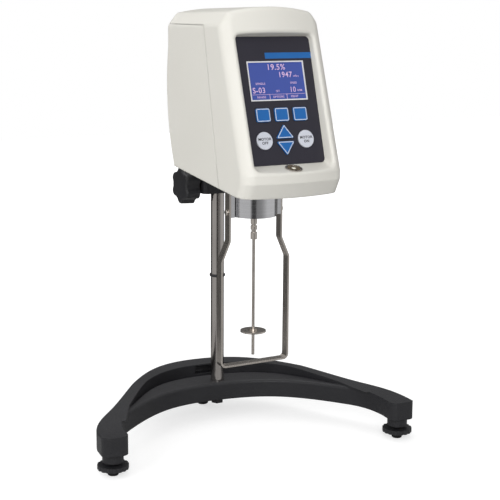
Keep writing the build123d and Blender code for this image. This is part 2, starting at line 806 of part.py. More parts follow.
with BuildPart() as front_housing:
    add(outer_form)
    add(hollow.part, mode=Mode.SUBTRACT)
    add(panel_opening, mode=Mode.SUBTRACT)
    lip = front_housing.edges(Select.LAST).filter_by(lambda edge: outer_form.shell().distance_to(edge @ 0.5) < 0.01)
    fillet(lip, radius=lip_round)
    add(cover_region(-flush), mode=Mode.SUBTRACT)
    # openings in the panel's floor for the display, the keys and the level
    with BuildSketch(panel):
        with Locations((0, -(lcd_from + lcd_to) / 2)):
            Rectangle(2 * lcd_half - 1, lcd_to - lcd_from - 1)
        add(key_outlines(seat))
    extrude(amount=-floor_back - 1, mode=Mode.SUBTRACT)
    with BuildSketch(level_plane):
        Circle(level_d / 2 + 0.02)
    extrude(amount=-level_h, mode=Mode.SUBTRACT)
front_housing.part.label = "front_housing"
export_step(front_housing.part, "parts/front_housing.step")

with BuildPart() as rear_hollow:
    add(inner_form)
    with BuildSketch(Plane.XZ.offset(-(pocket_y - wall))):
        with Locations((pocket_x, (pocket_low + pocket_high) / 2)):
            RectangleRounded(2 * pocket_half + 2 * wall, pocket_high - pocket_low + 2 * wall, 4)
    extrude(amount=-10 * wall, mode=Mode.SUBTRACT)

with BuildPart() as rear_cover:
    add(outer_form)
    add(rear_hollow.part, mode=Mode.SUBTRACT)
    with BuildSketch(Plane.XZ.offset(-pocket_y)):
        with Locations((pocket_x, (pocket_low + pocket_high) / 2)):
            RectangleRounded(2 * pocket_half, pocket_high - pocket_low, 2)
    extrude(amount=-20, mode=Mode.SUBTRACT)
    add(cover_region(flush), mode=Mode.INTERSECT)
    with BuildSketch(Plane.XZ.offset(-(pocket_y - wall))):
        with Locations((pocket_x, inlet_z)):
            Rectangle(inlet_size[0] + 0.04, inlet_size[1] + 0.04)
        with Locations((pocket_x, switch_z)):
            Rectangle(switch_size[0] + 0.04, switch_size[1] + 0.04)
        with Locations((pocket_x, data_z)):
            Rectangle(data_size[0] + 0.04, data_size[1] + 0.04)
    extrude(amount=-2 * wall, mode=Mode.SUBTRACT)
    with BuildSketch(Plane.XZ.offset(-shelf_rear)):
        with Locations((0, rod_z)):
            Circle(rod_d / 2 + seat)
    extrude(amount=-40, mode=Mode.SUBTRACT)
rear_cover.part.label = "rear_cover"
export_step(rear_cover.part, "parts/rear_cover.step")

for name in key_shapes:
    with BuildPart() as key:
        with BuildSketch(panel.offset(-floor_back - seat)):
            add(key_outline(name, 0))
        extrude(amount=floor_back + seat + key_proud)
        fillet(key.faces().sort_by(panel_axis)[-1].edges(), radius=0.4)
        with BuildSketch(panel.offset(-key_back)):
            add(key_outline(name, key_lip))
        extrude(amount=key_flange)
    key.part.label = name
    export_step(key.part, "parts/" + name + ".step")

with BuildPart() as keypad_overlay:
    with BuildSketch(panel.offset(-overlay_t)):
        with Locations((0, -panel_run / 2)):
            RectangleRounded(2 * panel_half - seat, panel_run - seat, panel_r)
        with Locations((0, -(lcd_from + lcd_to) / 2)):
            Rectangle(2 * lcd_half, lcd_to - lcd_from, mode=Mode.SUBTRACT)
        add(key_outlines(seat), mode=Mode.SUBTRACT)
    extrude(amount=overlay_t)
keypad_overlay.part.label = "keypad_overlay"
export_step(keypad_overlay.part, "parts/keypad_overlay.step")

with BuildPart() as display_frame:
    with BuildSketch(panel.offset(-overlay_t)):
        with Locations((0, -(lcd_from + lcd_to) / 2)):
            Rectangle(2 * lcd_half - 0.1, lcd_to - lcd_from - 0.1)
            RectangleRounded(2 * lcd_half - 2 * lcd_rim, lcd_to - lcd_from - 2 * lcd_rim, 0.8, mode=Mode.SUBTRACT)
    extrude(amount=overlay_t + lcd_proud)
display_frame.part.label = "display_frame"
export_step(display_frame.part, "parts/display_frame.step")

with BuildPart() as display_module:
    with BuildSketch(panel.offset(-floor_back)):
        with Locations((0, -(lcd_from + lcd_to) / 2)):
            RectangleRounded(2 * lcd_half - 2 * lcd_rim - 0.1, lcd_to - lcd_from - 2 * lcd_rim - 0.1, 0.8)
    extrude(amount=floor_back - 0.3)
    with BuildSketch(panel.offset(-floor_back)):
        with Locations((0, -(lcd_from + lcd_to) / 2)):
            Rectangle(2 * lcd_half + 10, lcd_to - lcd_from + 2)
    extrude(amount=-lcd_depth)
display_module.part.label = "display_module"
export_step(display_module.part, "parts/display_module.step")

with BuildPart() as keypad_board:
    with BuildSketch(panel.offset(-board_front)):
        with Locations((0, -(keypad_from + keypad_to) / 2)):
            RectangleRounded(2 * keypad_half, keypad_to - keypad_from, 2)
    extrude(amount=-board_t)
    # a dome switch under every key
    with BuildSketch(panel.offset(-board_front)):
        for shape, x, down in key_shapes.values():
            with Locations((x, -down)):
                Circle(3)
    extrude(amount=0.15)
    # spacers that hold the board to the back of the panel's floor
    with BuildSketch(panel.offset(-board_front)):
        with Locations((0, -(keypad_from + keypad_to) / 2)):
            with GridLocations(2 * keypad_half - 6, keypad_to - keypad_from - 6, 2, 2):
                Circle(2.4)
    extrude(amount=board_front - floor_back)
keypad_board.part.label = "keypad_board"
export_step(keypad_board.part, "parts/keypad_board.step")

with BuildPart() as level_case:
    with BuildSketch(level_plane.offset(-level_h)):
        Circle(level_d / 2)
    extrude(amount=level_h + level_rim)
    with BuildSketch(level_plane.offset(-level_h + 1)):
        Circle(level_d / 2 - 1.6)
    extrude(amount=level_h + level_rim, mode=Mode.SUBTRACT)
level_case.part.label = "level_case"
export_step(level_case.part, "parts/level_case.step")

with BuildPart() as level_vial:
    with BuildSketch(level_plane.offset(-level_h + 1)):
        Circle(level_d / 2 - 1.62)
    extrude(amount=level_h - 1 + level_rim / 2)
level_vial.part.label = "level_vial"
export_step(level_vial.part, "parts/level_vial.step")

# ================================================================ chassis and drive
bottom_plane = Plane(origin=(0, 0, bottom_front[1] - bottom_front[0] * bottom_slope), x_dir=(1, 0, 0),
                     z_dir=(0, -bottom_slope, 1))
boss_places = [(-pillar_x, -pillar_y), (pillar_x, -pillar_y), (-pillar_x, 50), (pillar_x, 50)]

with BuildPart() as bottom_plate:
    add(head_form(wall + flush, 30))
    with BuildSketch(bottom_plane):
        Rectangle(400, 400)
    extrude(amount=plate_t, mode=Mode.INTERSECT)
    with BuildSketch(Plane.XY.offset(bottom_front[1])):
        with Locations(*boss_places):
            Circle(6)
    extrude(amount=shelf_z - bottom_front[1])
    with BuildSketch(bottom_plane):
        Rectangle(400, 400)
    extrude(amount=-40, mode=Mode.SUBTRACT)
    with BuildSketch(Plane.XY.offset(bottom_front[1] - 10)):
        Circle(collar_d / 2 + seat)
    extrude(amount=60, mode=Mode.SUBTRACT)
bottom_plate.part.label = "bottom_plate"
export_step(bottom_plate.part, "parts/bottom_plate.step")

with BuildPart() as chassis:
    with BuildSketch(Plane.XY.offset(shelf_z)):
        with Locations((0, (shelf_front + shelf_rear) / 2)):
            RectangleRounded(2 * shelf_half, shelf_rear - shelf_front, 4)
        Circle(collar_d / 2 - 4, mode=Mode.SUBTRACT)
    extrude(amount=shelf_t)
    with BuildSketch(Plane.XZ.offset(-shelf_rear)):
        with Locations((0, (shelf_z + back_high) / 2)):
            Rectangle(2 * shelf_half, back_high - shelf_z)
    extrude(amount=back_t)
    # gussets that brace the upright against the shelf
    with BuildSketch(Plane.YZ.offset(shelf_half - back_t)):
        Polygon((shelf_rear, shelf_z), (shelf_rear, back_high - 30), (shelf_rear - back_t, back_high - 30),
                (shelf_front + 44, shelf_z + shelf_t), (shelf_front + 44, shelf_z), align=None)
    extrude(amount=back_t)
    with BuildSketch(Plane.YZ.offset(-shelf_half)):
        Polygon((shelf_rear, shelf_z), (shelf_rear, back_high - 30), (shelf_rear - back_t, back_high - 30),
                (shelf_front + 44, shelf_z + shelf_t), (shelf_front + 44, shelf_z), align=None)
    extrude(amount=back_t)
    with BuildSketch(Plane.XZ.offset(-shelf_rear)):
        with Locations((0, rod_z)):
            Circle(rod_d / 2)
    extrude(amount=back_t, mode=Mode.SUBTRACT)
    with BuildSketch(Plane.XZ.offset(-shelf_rear)):
        with Locations((0, (shelf_z + back_high) / 2 + 18)):
            RectangleRounded(2 * shelf_half - 24, back_high - shelf_z - 52, 6)
    extrude(amount=back_t, mode=Mode.SUBTRACT)
chassis.part.label = "chassis"
export_step(chassis.part, "parts/chassis.step")

with BuildPart() as pivot_housing:
    with BuildSketch(Plane.XY.offset(collar_bottom)):
        Circle(collar_d / 2)
        with Locations((-lug_mid, 0), (lug_mid, 0)):
            Rectangle(leg_upper_half - leg_t - collar_d / 2 + 3, leg_width)
    extrude(amount=shelf_z - collar_bottom)
    with BuildSketch(Plane.XY.offset(lug_top)):
        Circle(leg_upper_half + 2)
        Circle(collar_d / 2, mode=Mode.SUBTRACT)
    extrude(amount=40, mode=Mode.SUBTRACT)
    with BuildSketch(Plane.XY.offset(collar_bottom)):
        with Locations((-collar_d / 2 - 1.3, 0), (collar_d / 2 + 1.3, 0)):
            Rectangle(1.4, leg_width, mode=Mode.ADD)
    extrude(amount=lug_top - collar_bottom - 4, mode=Mode.SUBTRACT)
    with BuildSketch(Plane.XY.offset(collar_bottom + cup_t)):
        Circle(collar_d / 2 - 5)
    extrude(amount=60, mode=Mode.SUBTRACT)
    with BuildSketch(Plane.XY.offset(collar_bottom)):
        Circle(jewel_d / 2)
    extrude(amount=cup_t, mode=Mode.SUBTRACT)
    with BuildSketch(Plane.YZ.offset(-leg_upper_half + leg_t)):
        with Locations((0, screw_z)):
            Circle(1.75)
    extrude(amount=screw_depth, mode=Mode.SUBTRACT)
    with BuildSketch(Plane.YZ.offset(leg_upper_half - leg_t)):
        with Locations((0, screw_z)):
            Circle(1.75)
    extrude(amount=-screw_depth, mode=Mode.SUBTRACT)
pivot_housing.part.label = "pivot_housing"
export_step(pivot_housing.part, "parts/pivot_housing.step")

with BuildPart() as pivot_jewel:
    with BuildSketch(Plane.XY.offset(collar_bottom)):
        Circle(jewel_d / 2)
        Circle(pivot_d / 2 + running, mode=Mode.SUBTRACT)
    extrude(amount=cup_t)
pivot_jewel.part.label = "pivot_jewel"
export_step(pivot_jewel.part, "parts/pivot_jewel.step")


def leg_half(upper, lower, bottom):
    """Right half of the guard leg's outline, seen from the front."""
    return [(0, bottom), (lower, bottom), (lower, leg_knee_low), (upper, leg_knee_high), (upper, leg_top), (0, leg_top)]


with BuildPart() as guard_leg:
    with BuildSketch(Plane.XZ.offset(-leg_width / 2)) as strip:
        Polygon(*leg_half(leg_upper_half, leg_lower_half, leg_bottom), align=None)
        mirror(about=Plane.YZ)
        fillet(strip.vertices().group_by(Axis.Y)[0], radius=leg_bend)
        fillet(strip.vertices().filter_by(lambda v: leg_knee_low - 1 < v.Y < leg_knee_high + 1), radius=leg_bend)
        offset(amount=-leg_t, mode=Mode.SUBTRACT)
        with Locations((0, leg_top)):
            Rectangle(2 * (leg_upper_half - leg_t), 3 * leg_t, mode=Mode.SUBTRACT)
    extrude(amount=leg_width)
    with BuildSketch(Plane.YZ):
        with Locations((0, screw_z)):
            Circle(1.75)
    extrude(amount=leg_upper_half + 5, both=True, mode=Mode.SUBTRACT)
guard_leg.part.label = "guard_leg"
export_step(guard_leg.part, "parts/guard_leg.step")

with BuildPart() as guard_leg_screws:
    for side in (-1, 1):
        with BuildSketch(Plane.YZ.offset(side * leg_upper_half)):
            with Locations((0, screw_z)):
                Circle(1.75)
        extrude(amount=-side * (leg_t + screw_depth - 1))
        with BuildSketch(Plane.YZ.offset(side * leg_upper_half)):
            with Locations((0, screw_z)):
                Circle(3.3)
        extrude(amount=side * 2.2)
    fillet(guard_leg_screws.edges().filter_by(GeomType.CIRCLE).group_by(Axis.X)[0], radius=1.6)
    fillet(guard_leg_screws.edges().filter_by(GeomType.CIRCLE).group_by(Axis.X)[-1], radius=1.6)
guard_leg_screws.part.label = "guard_leg_screws"
export_step(guard_leg_screws.part, "parts/guard_leg_screws.step")

with BuildPart() as spindle:
    with BuildSketch(Plane.XZ) as half:
        with BuildLine():
            Polyline((0, spindle_end), (stem_r, spindle_end), (stem_r, disc_top - disc_t), (disc_d / 2, disc_top - disc_t),
                     (disc_d / 2, disc_top), (hub_r, disc_top), (hub_r, disc_top + hub_h), (stem_r, disc_top + hub_h),
                     (stem_r, coupling_mid), (0, coupling_mid), close=True)
        make_face()
    revolve(axis=Axis.Z)
spindle.part.label = "spindle"
export_step(spindle.part, "parts/spindle.step")

with BuildPart() as coupling_nut:
    with BuildSketch(Plane.XY.offset(coupling_low)):
        RegularPolygon(coupling_d / 2 + 0.2, 12)
        Circle(stem_r, mode=Mode.SUBTRACT)
    extrude(amount=coupling_top - coupling_low)
    with BuildSketch(Plane.XY.offset(coupling_low + 7)):
        Circle(coupling_d)
        Circle(coupling_d / 2 - 0.7, mode=Mode.SUBTRACT)
    extrude(amount=3, mode=Mode.SUBTRACT)
    with BuildSketch(Plane.XY.offset(coupling_low + 14)):
        Circle(coupling_d)
        Circle(coupling_d / 2 - 0.7, mode=Mode.SUBTRACT)
    extrude(amount=2, mode=Mode.SUBTRACT)
coupling_nut.part.label = "coupling_nut"
export_step(coupling_nut.part, "parts/coupling_nut.step")

with BuildPart() as pivot_shaft:
    with BuildSketch(Plane.XY.offset(coupling_mid)):
        Circle(stem_r)
    extrude(amount=coupling_top - coupling_mid)
    with BuildSketch(Plane.XY.offset(coupling_top)):
        Circle(pivot_d / 2)
    extrude(amount=drum_high - 1 - coupling_top)
    with BuildSketch(Plane.XY.offset(spring_z - 1)):
        Circle(hub_d / 2)
    extrude(amount=spring_h + 2)
pivot_shaft.part.label = "pivot_shaft"
export_step(pivot_shaft.part, "parts/pivot_shaft.step")

with BuildPart() as signal_disc:
    with BuildSketch(Plane.XY.offset(flag_z)):
        Circle(drum_d / 2)
        Circle(pivot_d / 2, mode=Mode.SUBTRACT)
        with PolarLocations(drum_d / 2 - 5, 24):
            Rectangle(4, 1.2, mode=Mode.SUBTRACT)
    extrude(amount=1.2)
signal_disc.part.label = "signal_disc"
export_step(signal_disc.part, "parts/signal_disc.step")

with BuildPart() as angle_sensor:
    with BuildSketch(Plane.XY.offset(shelf_z + shelf_t)):
        with Locations((0, drum_d / 2 + 6)):
            Rectangle(16, 20)
    extrude(amount=flag_z + 6 - shelf_z - shelf_t)
    with BuildSketch(Plane.XY.offset(flag_z - 1)):
        Circle(drum_d / 2 + 1)
    extrude(amount=3.2, mode=Mode.SUBTRACT)
angle_sensor.part.label = "angle_sensor"
export_step(angle_sensor.part, "parts/angle_sensor.step")

with BuildPart() as drive_shaft:
    with BuildSketch(Plane.XY.offset(drum_low)):
        Circle(drum_d / 2)
        Circle(drum_d / 2 - 1.6, mode=Mode.SUBTRACT)
    extrude(amount=drum_high - drum_low)
    with BuildSketch(Plane.XY.offset(drum_high - 3)):
        Circle(drum_d / 2)
        Circle(pivot_d / 2 + running, mode=Mode.SUBTRACT)
    extrude(amount=3)
    with BuildSketch(Plane.XY.offset(drum_high)):
        Circle(6)
    extrude(amount=3)
    with BuildSketch(Plane.XY.offset(drum_high)):
        Circle(shaft_d / 2)
    extrude(amount=bridge_z + bridge_t + 20 - drum_high)
drive_shaft.part.label = "drive_shaft"
export_step(drive_shaft.part, "parts/drive_shaft.step")


def spiral(first, last, shift):
    """Points of an Archimedean spiral from one radius to another, shifted outwards."""
    steps = spring_turns * 8
    radii = [first + (last - first) * k / steps + shift for k in range(steps + 1)]
    return [(r * cos(2 * pi * k / 8), r * sin(2 * pi * k / 8)) for k, r in enumerate(radii)]


with BuildPart() as torsion_spring:
    with BuildSketch(Plane.XY.offset(spring_z)):
        with BuildLine():
            inside = Spline(*spiral(hub_d / 2 + seat, drum_d / 2 - 1.6 - spring_t - 0.05, 0))
            outside = Spline(*spiral(hub_d / 2 + seat, drum_d / 2 - 1.6 - spring_t - 0.05, spring_t))
            Line(inside @ 0, outside @ 0)
            Line(inside @ 1, outside @ 1)
        make_face()
    extrude(amount=spring_h)
torsion_spring.part.label = "torsion_spring"
export_step(torsion_spring.part, "parts/torsion_spring.step")

with BuildPart() as motor_bridge:
    with BuildSketch(Plane.XY.offset(bridge_z)):
        RectangleRounded(2 * pillar_x + 12, 2 * pillar_y + 12, 6)
        Circle(8, mode=Mode.SUBTRACT)
    extrude(amount=bridge_t)
    with BuildSketch(Plane.XY.offset(shelf_z + shelf_t)):
        with GridLocations(2 * pillar_x, 2 * pillar_y, 2, 2):
            Circle(4)
    extrude(amount=bridge_z - shelf_z - shelf_t)
motor_bridge.part.label = "motor_bridge"
export_step(motor_bridge.part, "parts/motor_bridge.step")

with BuildPart() as drive_bearing:
    with BuildSketch(Plane.XY.offset(bridge_z)):
        Circle(8)
        Circle(shaft_d / 2 + running, mode=Mode.SUBTRACT)
    extrude(amount=bridge_t)
drive_bearing.part.label = "drive_bearing"
export_step(drive_bearing.part, "parts/drive_bearing.step")

with BuildPart() as motor:
    with BuildSketch(Plane.XY.offset(bridge_z + bridge_t)):
        Circle(motor_d / 2)
    extrude(amount=motor_h)
    fillet(motor.edges().sort_by(Axis.Z)[-1], radius=2)
    with BuildSketch(Plane.XY.offset(bridge_z + bridge_t)):
        RectangleRounded(motor_d + 8, 20, 3)
    extrude(amount=2)
    with BuildSketch(Plane.XY.offset(bridge_z + bridge_t)):
        Circle(shaft_d / 2 + seat)
    extrude(amount=20 + seat, mode=Mode.SUBTRACT)
motor.part.label = "motor"
export_step(motor.part, "parts/motor.step")

with BuildPart() as main_board:
    with BuildSketch(Plane.XZ.offset(-(shelf_rear + board_gap))):
        with Locations((-main_board_x, (shelf_z + 24 + back_high) / 2)):
            Rectangle(2 * (shelf_half - main_board_x), back_high - shelf_z - 30)
    extrude(amount=-board_t)
    with BuildSketch(Plane.XZ.offset(-shelf_rear)):
        with Locations((-main_board_x, (shelf_z + 24 + back_high) / 2)):
            with GridLocations(2 * (shelf_half - main_board_x) - 8, back_high - shelf_z - 38, 2, 2):
                Circle(2.5)
    extrude(amount=-board_gap)
main_board.part.label = "main_board"
export_step(main_board.part, "parts/main_board.step")

# ================================================================ rear sockets
with BuildPart() as power_inlet:
    with BuildSketch(Plane.XZ.offset(-pocket_y)):
        with Locations((pocket_x, inlet_z)):
            RectangleRounded(2 * pocket_half - 2, inlet_size[1] + 4, 2)
    extrude(amount=-1.2)
    with BuildSketch(Plane.XZ.offset(-(pocket_y - 16))):
        with Locations((pocket_x, inlet_z)):
            Rectangle(*inlet_size)
    extrude(amount=-16)
    with BuildSketch(Plane.XZ.offset(-(pocket_y - 14))):
        with Locations((pocket_x, inlet_z)):
            RectangleRounded(inlet_size[0] - 4, inlet_size[1] - 4, 2)
    extrude(amount=-30, mode=Mode.SUBTRACT)
    with BuildSketch(Plane.XZ.offset(-(pocket_y - 14.5))):
        with Locations((pocket_x - 7, inlet_z - 1), (pocket_x + 7, inlet_z - 1), (pocket_x, inlet_z + 4)):
            Rectangle(1.6, 4)
    extrude(amount=-13)
power_inlet.part.label = "power_inlet"
export_step(power_inlet.part, "parts/power_inlet.step")

with BuildPart() as switch_body:
    with BuildSketch(Plane.XZ.offset(-pocket_y)):
        with Locations((pocket_x, switch_z)):
            Rectangle(switch_size[0] + 2, switch_size[1] + 2)
    extrude(amount=-1.2)
    with BuildSketch(Plane.XZ.offset(-(pocket_y - 14))):
        with Locations((pocket_x, switch_z)):
            Rectangle(*switch_size)
    extrude(amount=-14)
    with BuildSketch(Plane.XZ.offset(-(pocket_y - 9))):
        with Locations((pocket_x, switch_z)):
            Rectangle(switch_size[0] - 3, switch_size[1] - 3)
    extrude(amount=-20, mode=Mode.SUBTRACT)
    with BuildSketch(Plane.YZ.offset(pocket_x)):
        with Locations((rocker_y, switch_z)):
            Circle(trunnion_r + running)
    extrude(amount=trunnion_reach + running, both=True, mode=Mode.SUBTRACT)
switch_body.part.label = "switch_body"
export_step(switch_body.part, "parts/switch_body.step")

with BuildPart() as power_rocker:
    with BuildSketch(Plane.YZ.offset(pocket_x - (switch_size[0] - 3) / 2 + seat)):
        with Locations(Location((rocker_y, switch_z), rocker_rest)):
            Polygon((-5.5, -2), (-1, -4.4), (2.6, -4.4), (1.7, 0), (2.6, 4.4), (-1, 4.4), (-5.5, 2), align=None)
    extrude(amount=switch_size[0] - 3 - 2 * seat)
    with BuildSketch(Plane.YZ.offset(pocket_x)):
        with Locations((rocker_y, switch_z)):
            Circle(trunnion_r)
    extrude(amount=trunnion_reach, both=True)
power_rocker.part.label = "power_rocker"
export_step(power_rocker.part, "parts/power_rocker.step")

with BuildPart() as data_socket:
    with BuildSketch(Plane.XZ.offset(-(pocket_y - 12))):
        with Locations((pocket_x, data_z)):
            Rectangle(*data_size)
    extrude(amount=-12.8)
    with BuildSketch(Plane.XZ.offset(-(pocket_y - 10))):
        with Locations((pocket_x, data_z)):
            Rectangle(data_size[0] - 2.4, data_size[1] - 2.4)
    extrude(amount=-20, mode=Mode.SUBTRACT)
    with BuildSketch(Plane.XZ.offset(-(pocket_y - 10.5))):
        with Locations((pocket_x, data_z + 2.4)):
            Rectangle(5.6, 2)
    extrude(amount=-9)
data_socket.part.label = "data_socket"
export_step(data_socket.part, "parts/data_socket.step")
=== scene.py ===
# Rotational viscometer on its lab stand: finishes, printed panel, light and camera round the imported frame.
import math
import bpy
import numpy as np
from mathutils import Matrix, Vector


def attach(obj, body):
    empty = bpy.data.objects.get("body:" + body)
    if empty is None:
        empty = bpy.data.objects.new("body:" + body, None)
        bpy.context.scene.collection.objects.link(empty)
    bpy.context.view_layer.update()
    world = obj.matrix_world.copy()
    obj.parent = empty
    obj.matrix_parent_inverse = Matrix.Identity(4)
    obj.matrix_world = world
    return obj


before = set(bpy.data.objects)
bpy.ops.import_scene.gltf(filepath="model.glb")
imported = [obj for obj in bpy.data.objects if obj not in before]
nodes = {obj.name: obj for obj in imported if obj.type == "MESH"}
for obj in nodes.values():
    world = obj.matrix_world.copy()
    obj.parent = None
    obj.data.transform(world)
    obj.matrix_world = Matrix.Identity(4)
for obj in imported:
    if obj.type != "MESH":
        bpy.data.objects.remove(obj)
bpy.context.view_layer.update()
print("frame loaded", len(nodes), "nodes")

# ---- small helpers -------------------------------------------------------


def toLinear(red, green, blue):
    # a colour as it is seen on a screen, 0 to 255, turned to the shader's linear scale
    shares = (c / 255 for c in (red, green, blue))
    return tuple(((c + 0.055) / 1.055) ** 2.4 if c > 10 / 255 else c / 12.92 for c in shares) + (1.0,)


def makeSocket(group, name, kind, low=None, way="INPUT"):
    socket = group.interface.new_socket(name=name, in_out=way, socket_type=kind)
    if low is not None:
        socket.default_value = low
    return socket


def link(tree, out, into):
    tree.links.new(out, into)


def addNode(tree, kind, **values):
    node = tree.nodes.new(kind)
    for name, value in values.items():
        setattr(node, name, value)
    return node


def mathNode(tree, operation, first, second=None):
    node = addNode(tree, "ShaderNodeMath", operation=operation)
    for k, value in enumerate((first, second)):
        if value is None:
            continue
        if isinstance(value, (int, float)):
            node.inputs[k].default_value = value
        else:
            link(tree, value, node.inputs[k])
    return node.outputs[0]


def mixColour(tree, factor, first, second, blend="MIX"):
    node = addNode(tree, "ShaderNodeMix", data_type="RGBA", blend_type=blend)
    for socket, value in ((node.inputs[0], factor), (node.inputs[6], first), (node.inputs[7], second)):
        if isinstance(value, (int, float, tuple)):
            socket.default_value = value
        else:
            link(tree, value, socket)
    return node.outputs[2]


# ---- shared shader groups -------------------------------------------------


def makeMottle():
    # colour that drifts slowly between two tones, with fine specks on top
    group = bpy.data.node_groups.new("mottle", "ShaderNodeTree")
    makeSocket(group, "Vector", "NodeSocketVector")
    makeSocket(group, "Light tone", "NodeSocketColor")
    makeSocket(group, "Dark tone", "NodeSocketColor")
    makeSocket(group, "Cloud scale", "NodeSocketFloat", 30.0)
    makeSocket(group, "Speck scale", "NodeSocketFloat", 900.0)
    makeSocket(group, "Speck depth", "NodeSocketFloat", 0.2)
    makeSocket(group, "Colour", "NodeSocketColor", way="OUTPUT")
    makeSocket(group, "Mask", "NodeSocketFloat", way="OUTPUT")
    first = addNode(group, "NodeGroupInput")
    last = addNode(group, "NodeGroupOutput")
    cloud = addNode(group, "ShaderNodeTexNoise")
    cloud.inputs["Detail"].default_value = 3.0
    speck = addNode(group, "ShaderNodeTexNoise")
    speck.inputs["Detail"].default_value = 2.0
    link(group, first.outputs["Vector"], cloud.inputs["Vector"])
    link(group, first.outputs["Cloud scale"], cloud.inputs["Scale"])
    link(group, first.outputs["Vector"], speck.inputs["Vector"])
    link(group, first.outputs["Speck scale"], speck.inputs["Scale"])
    centred = mathNode(group, "SUBTRACT", speck.outputs[0], 0.5)
    specks = mathNode(group, "MULTIPLY", centred, first.outputs["Speck depth"])
    mask = mathNode(group, "ADD", cloud.outputs[0], specks)
    toned = mixColour(group, mask, first.outputs["Dark tone"], first.outputs["Light tone"])
    link(group, toned, last.inputs["Colour"])
    link(group, mask, last.inputs["Mask"])
    return group


def makeGrain():
    # height of a moulded or coated skin: rounded cells broken up by noise
    group = bpy.data.node_groups.new("skinGrain", "ShaderNodeTree")
    makeSocket(group, "Vector", "NodeSocketVector")
    makeSocket(group, "Scale", "NodeSocketFloat", 1200.0)
    makeSocket(group, "Roundness", "NodeSocketFloat", 0.5)
    makeSocket(group, "Height", "NodeSocketFloat", way="OUTPUT")
    first = addNode(group, "NodeGroupInput")
    last = addNode(group, "NodeGroupOutput")
    cells = addNode(group, "ShaderNodeTexVoronoi", feature="SMOOTH_F1")
    noise = addNode(group, "ShaderNodeTexNoise")
    noise.inputs["Detail"].default_value = 4.0
    for node in (cells, noise):
        link(group, first.outputs["Vector"], node.inputs["Vector"])
        link(group, first.outputs["Scale"], node.inputs["Scale"])
    blended = addNode(group, "ShaderNodeMix", data_type="FLOAT")
    link(group, first.outputs["Roundness"], blended.inputs[0])
    link(group, noise.outputs[0], blended.inputs[2])
    link(group, cells.outputs["Distance"], blended.inputs[3])
    link(group, blended.outputs[0], last.inputs["Height"])
    return group


def makeBrushed():
    # fine lines left by brushing or turning, as long streaks of noise
    group = bpy.data.node_groups.new("brushedLines", "ShaderNodeTree")
    makeSocket(group, "Vector", "NodeSocketVector")
    makeSocket(group, "Stretch", "NodeSocketVector")
    makeSocket(group, "Lines", "NodeSocketFloat", way="OUTPUT")
    first = addNode(group, "NodeGroupInput")
    last = addNode(group, "NodeGroupOutput")
    stretch = addNode(group, "ShaderNodeVectorMath", operation="MULTIPLY")
    link(group, first.outputs["Vector"], stretch.inputs[0])
    link(group, first.outputs["Stretch"], stretch.inputs[1])
    streaks = addNode(group, "ShaderNodeTexNoise")
    streaks.inputs["Scale"].default_value = 1.0
    streaks.inputs["Detail"].default_value = 3.0
    link(group, stretch.outputs[0], streaks.inputs["Vector"])
    link(group, streaks.outputs[0], last.inputs["Lines"])
    return group


mottle = makeMottle()
skinGrain = makeGrain()
brushedLines = makeBrushed()


def startMaterial(name, values):
    # a Principled material with its constants on the shader's own sockets
    material = bpy.data.materials.new(name)
    material.use_nodes = True
    tree = material.node_tree
    shader = tree.nodes["Principled BSDF"]
    for socket, value in values.items():
        shader.inputs[socket].default_value = value
    place = addNode(tree, "ShaderNodeTexCoord").outputs["Object"]
    return material, tree, shader, place


def putGroup(tree, group, place, **values):
    node = addNode(tree, "ShaderNodeGroup", node_tree=group)
    link(tree, place, node.inputs["Vector"])
    for name, value in values.items():
        node.inputs[name].default_value = value
    return node


def bumpFrom(tree, shader, height, strength, distance, soft=0.0):
    bump = addNode(tree, "ShaderNodeBump")
    if soft:
        rounded = addNode(tree, "ShaderNodeBevel", samples=4)
        rounded.inputs["Radius"].default_value = soft
        link(tree, rounded.outputs[0], bump.inputs["Normal"])
    bump.inputs["Strength"].default_value = strength
    bump.inputs["Distance"].default_value = distance
    link(tree, height, bump.inputs["Height"])
    link(tree, bump.outputs[0], shader.inputs["Normal"])


def roughFrom(tree, shader, mask, low, high):
    spread = addNode(tree, "ShaderNodeMapRange")
    spread.inputs["From Min"].default_value = 0.3
    spread.inputs["From Max"].default_value = 0.7
    spread.inputs["To Min"].default_value = low
    spread.inputs["To Max"].default_value = high
    link(tree, mask, spread.inputs["Value"])
    link(tree, spread.outputs[0], shader.inputs["Roughness"])


def mouldedPlastic(name, look):
    material, tree, shader, place = startMaterial(name, look["shader"])
    tones = putGroup(tree, mottle, place, **{"Light tone": look["light"], "Dark tone": look["dark"],
                     "Cloud scale": look["cloud"], "Speck scale": look["speck"],
                     "Speck depth": look["speckDepth"]})
    link(tree, tones.outputs["Colour"], shader.inputs["Base Color"])
    roughFrom(tree, shader, tones.outputs["Mask"], *look["rough"])
    grain = putGroup(tree, skinGrain, place, Scale=look["grain"], Roundness=look["round"])
    bumpFrom(tree, shader, grain.outputs["Height"], look["bump"], look["depth"], look.get("soft", 0.0))
    return material


def workedMetal(name, look):
    material, tree, shader, place = startMaterial(name, look["shader"])
    lines = putGroup(tree, brushedLines, place, Stretch=look["stretch"])
    tones = putGroup(tree, mottle, place, **{"Light tone": look["light"], "Dark tone": look["dark"],
                     "Cloud scale": look["cloud"], "Speck scale": 600.0, "Speck depth": 0.15})
    shade = mixColour(tree, 0.35, tones.outputs["Colour"], lines.outputs["Lines"], "SOFT_LIGHT")
    link(tree, shade, shader.inputs["Base Color"])
    roughFrom(tree, shader, lines.outputs["Lines"], *look["rough"])
    bumpFrom(tree, shader, lines.outputs["Lines"], look["bump"], look["depth"])
    return material


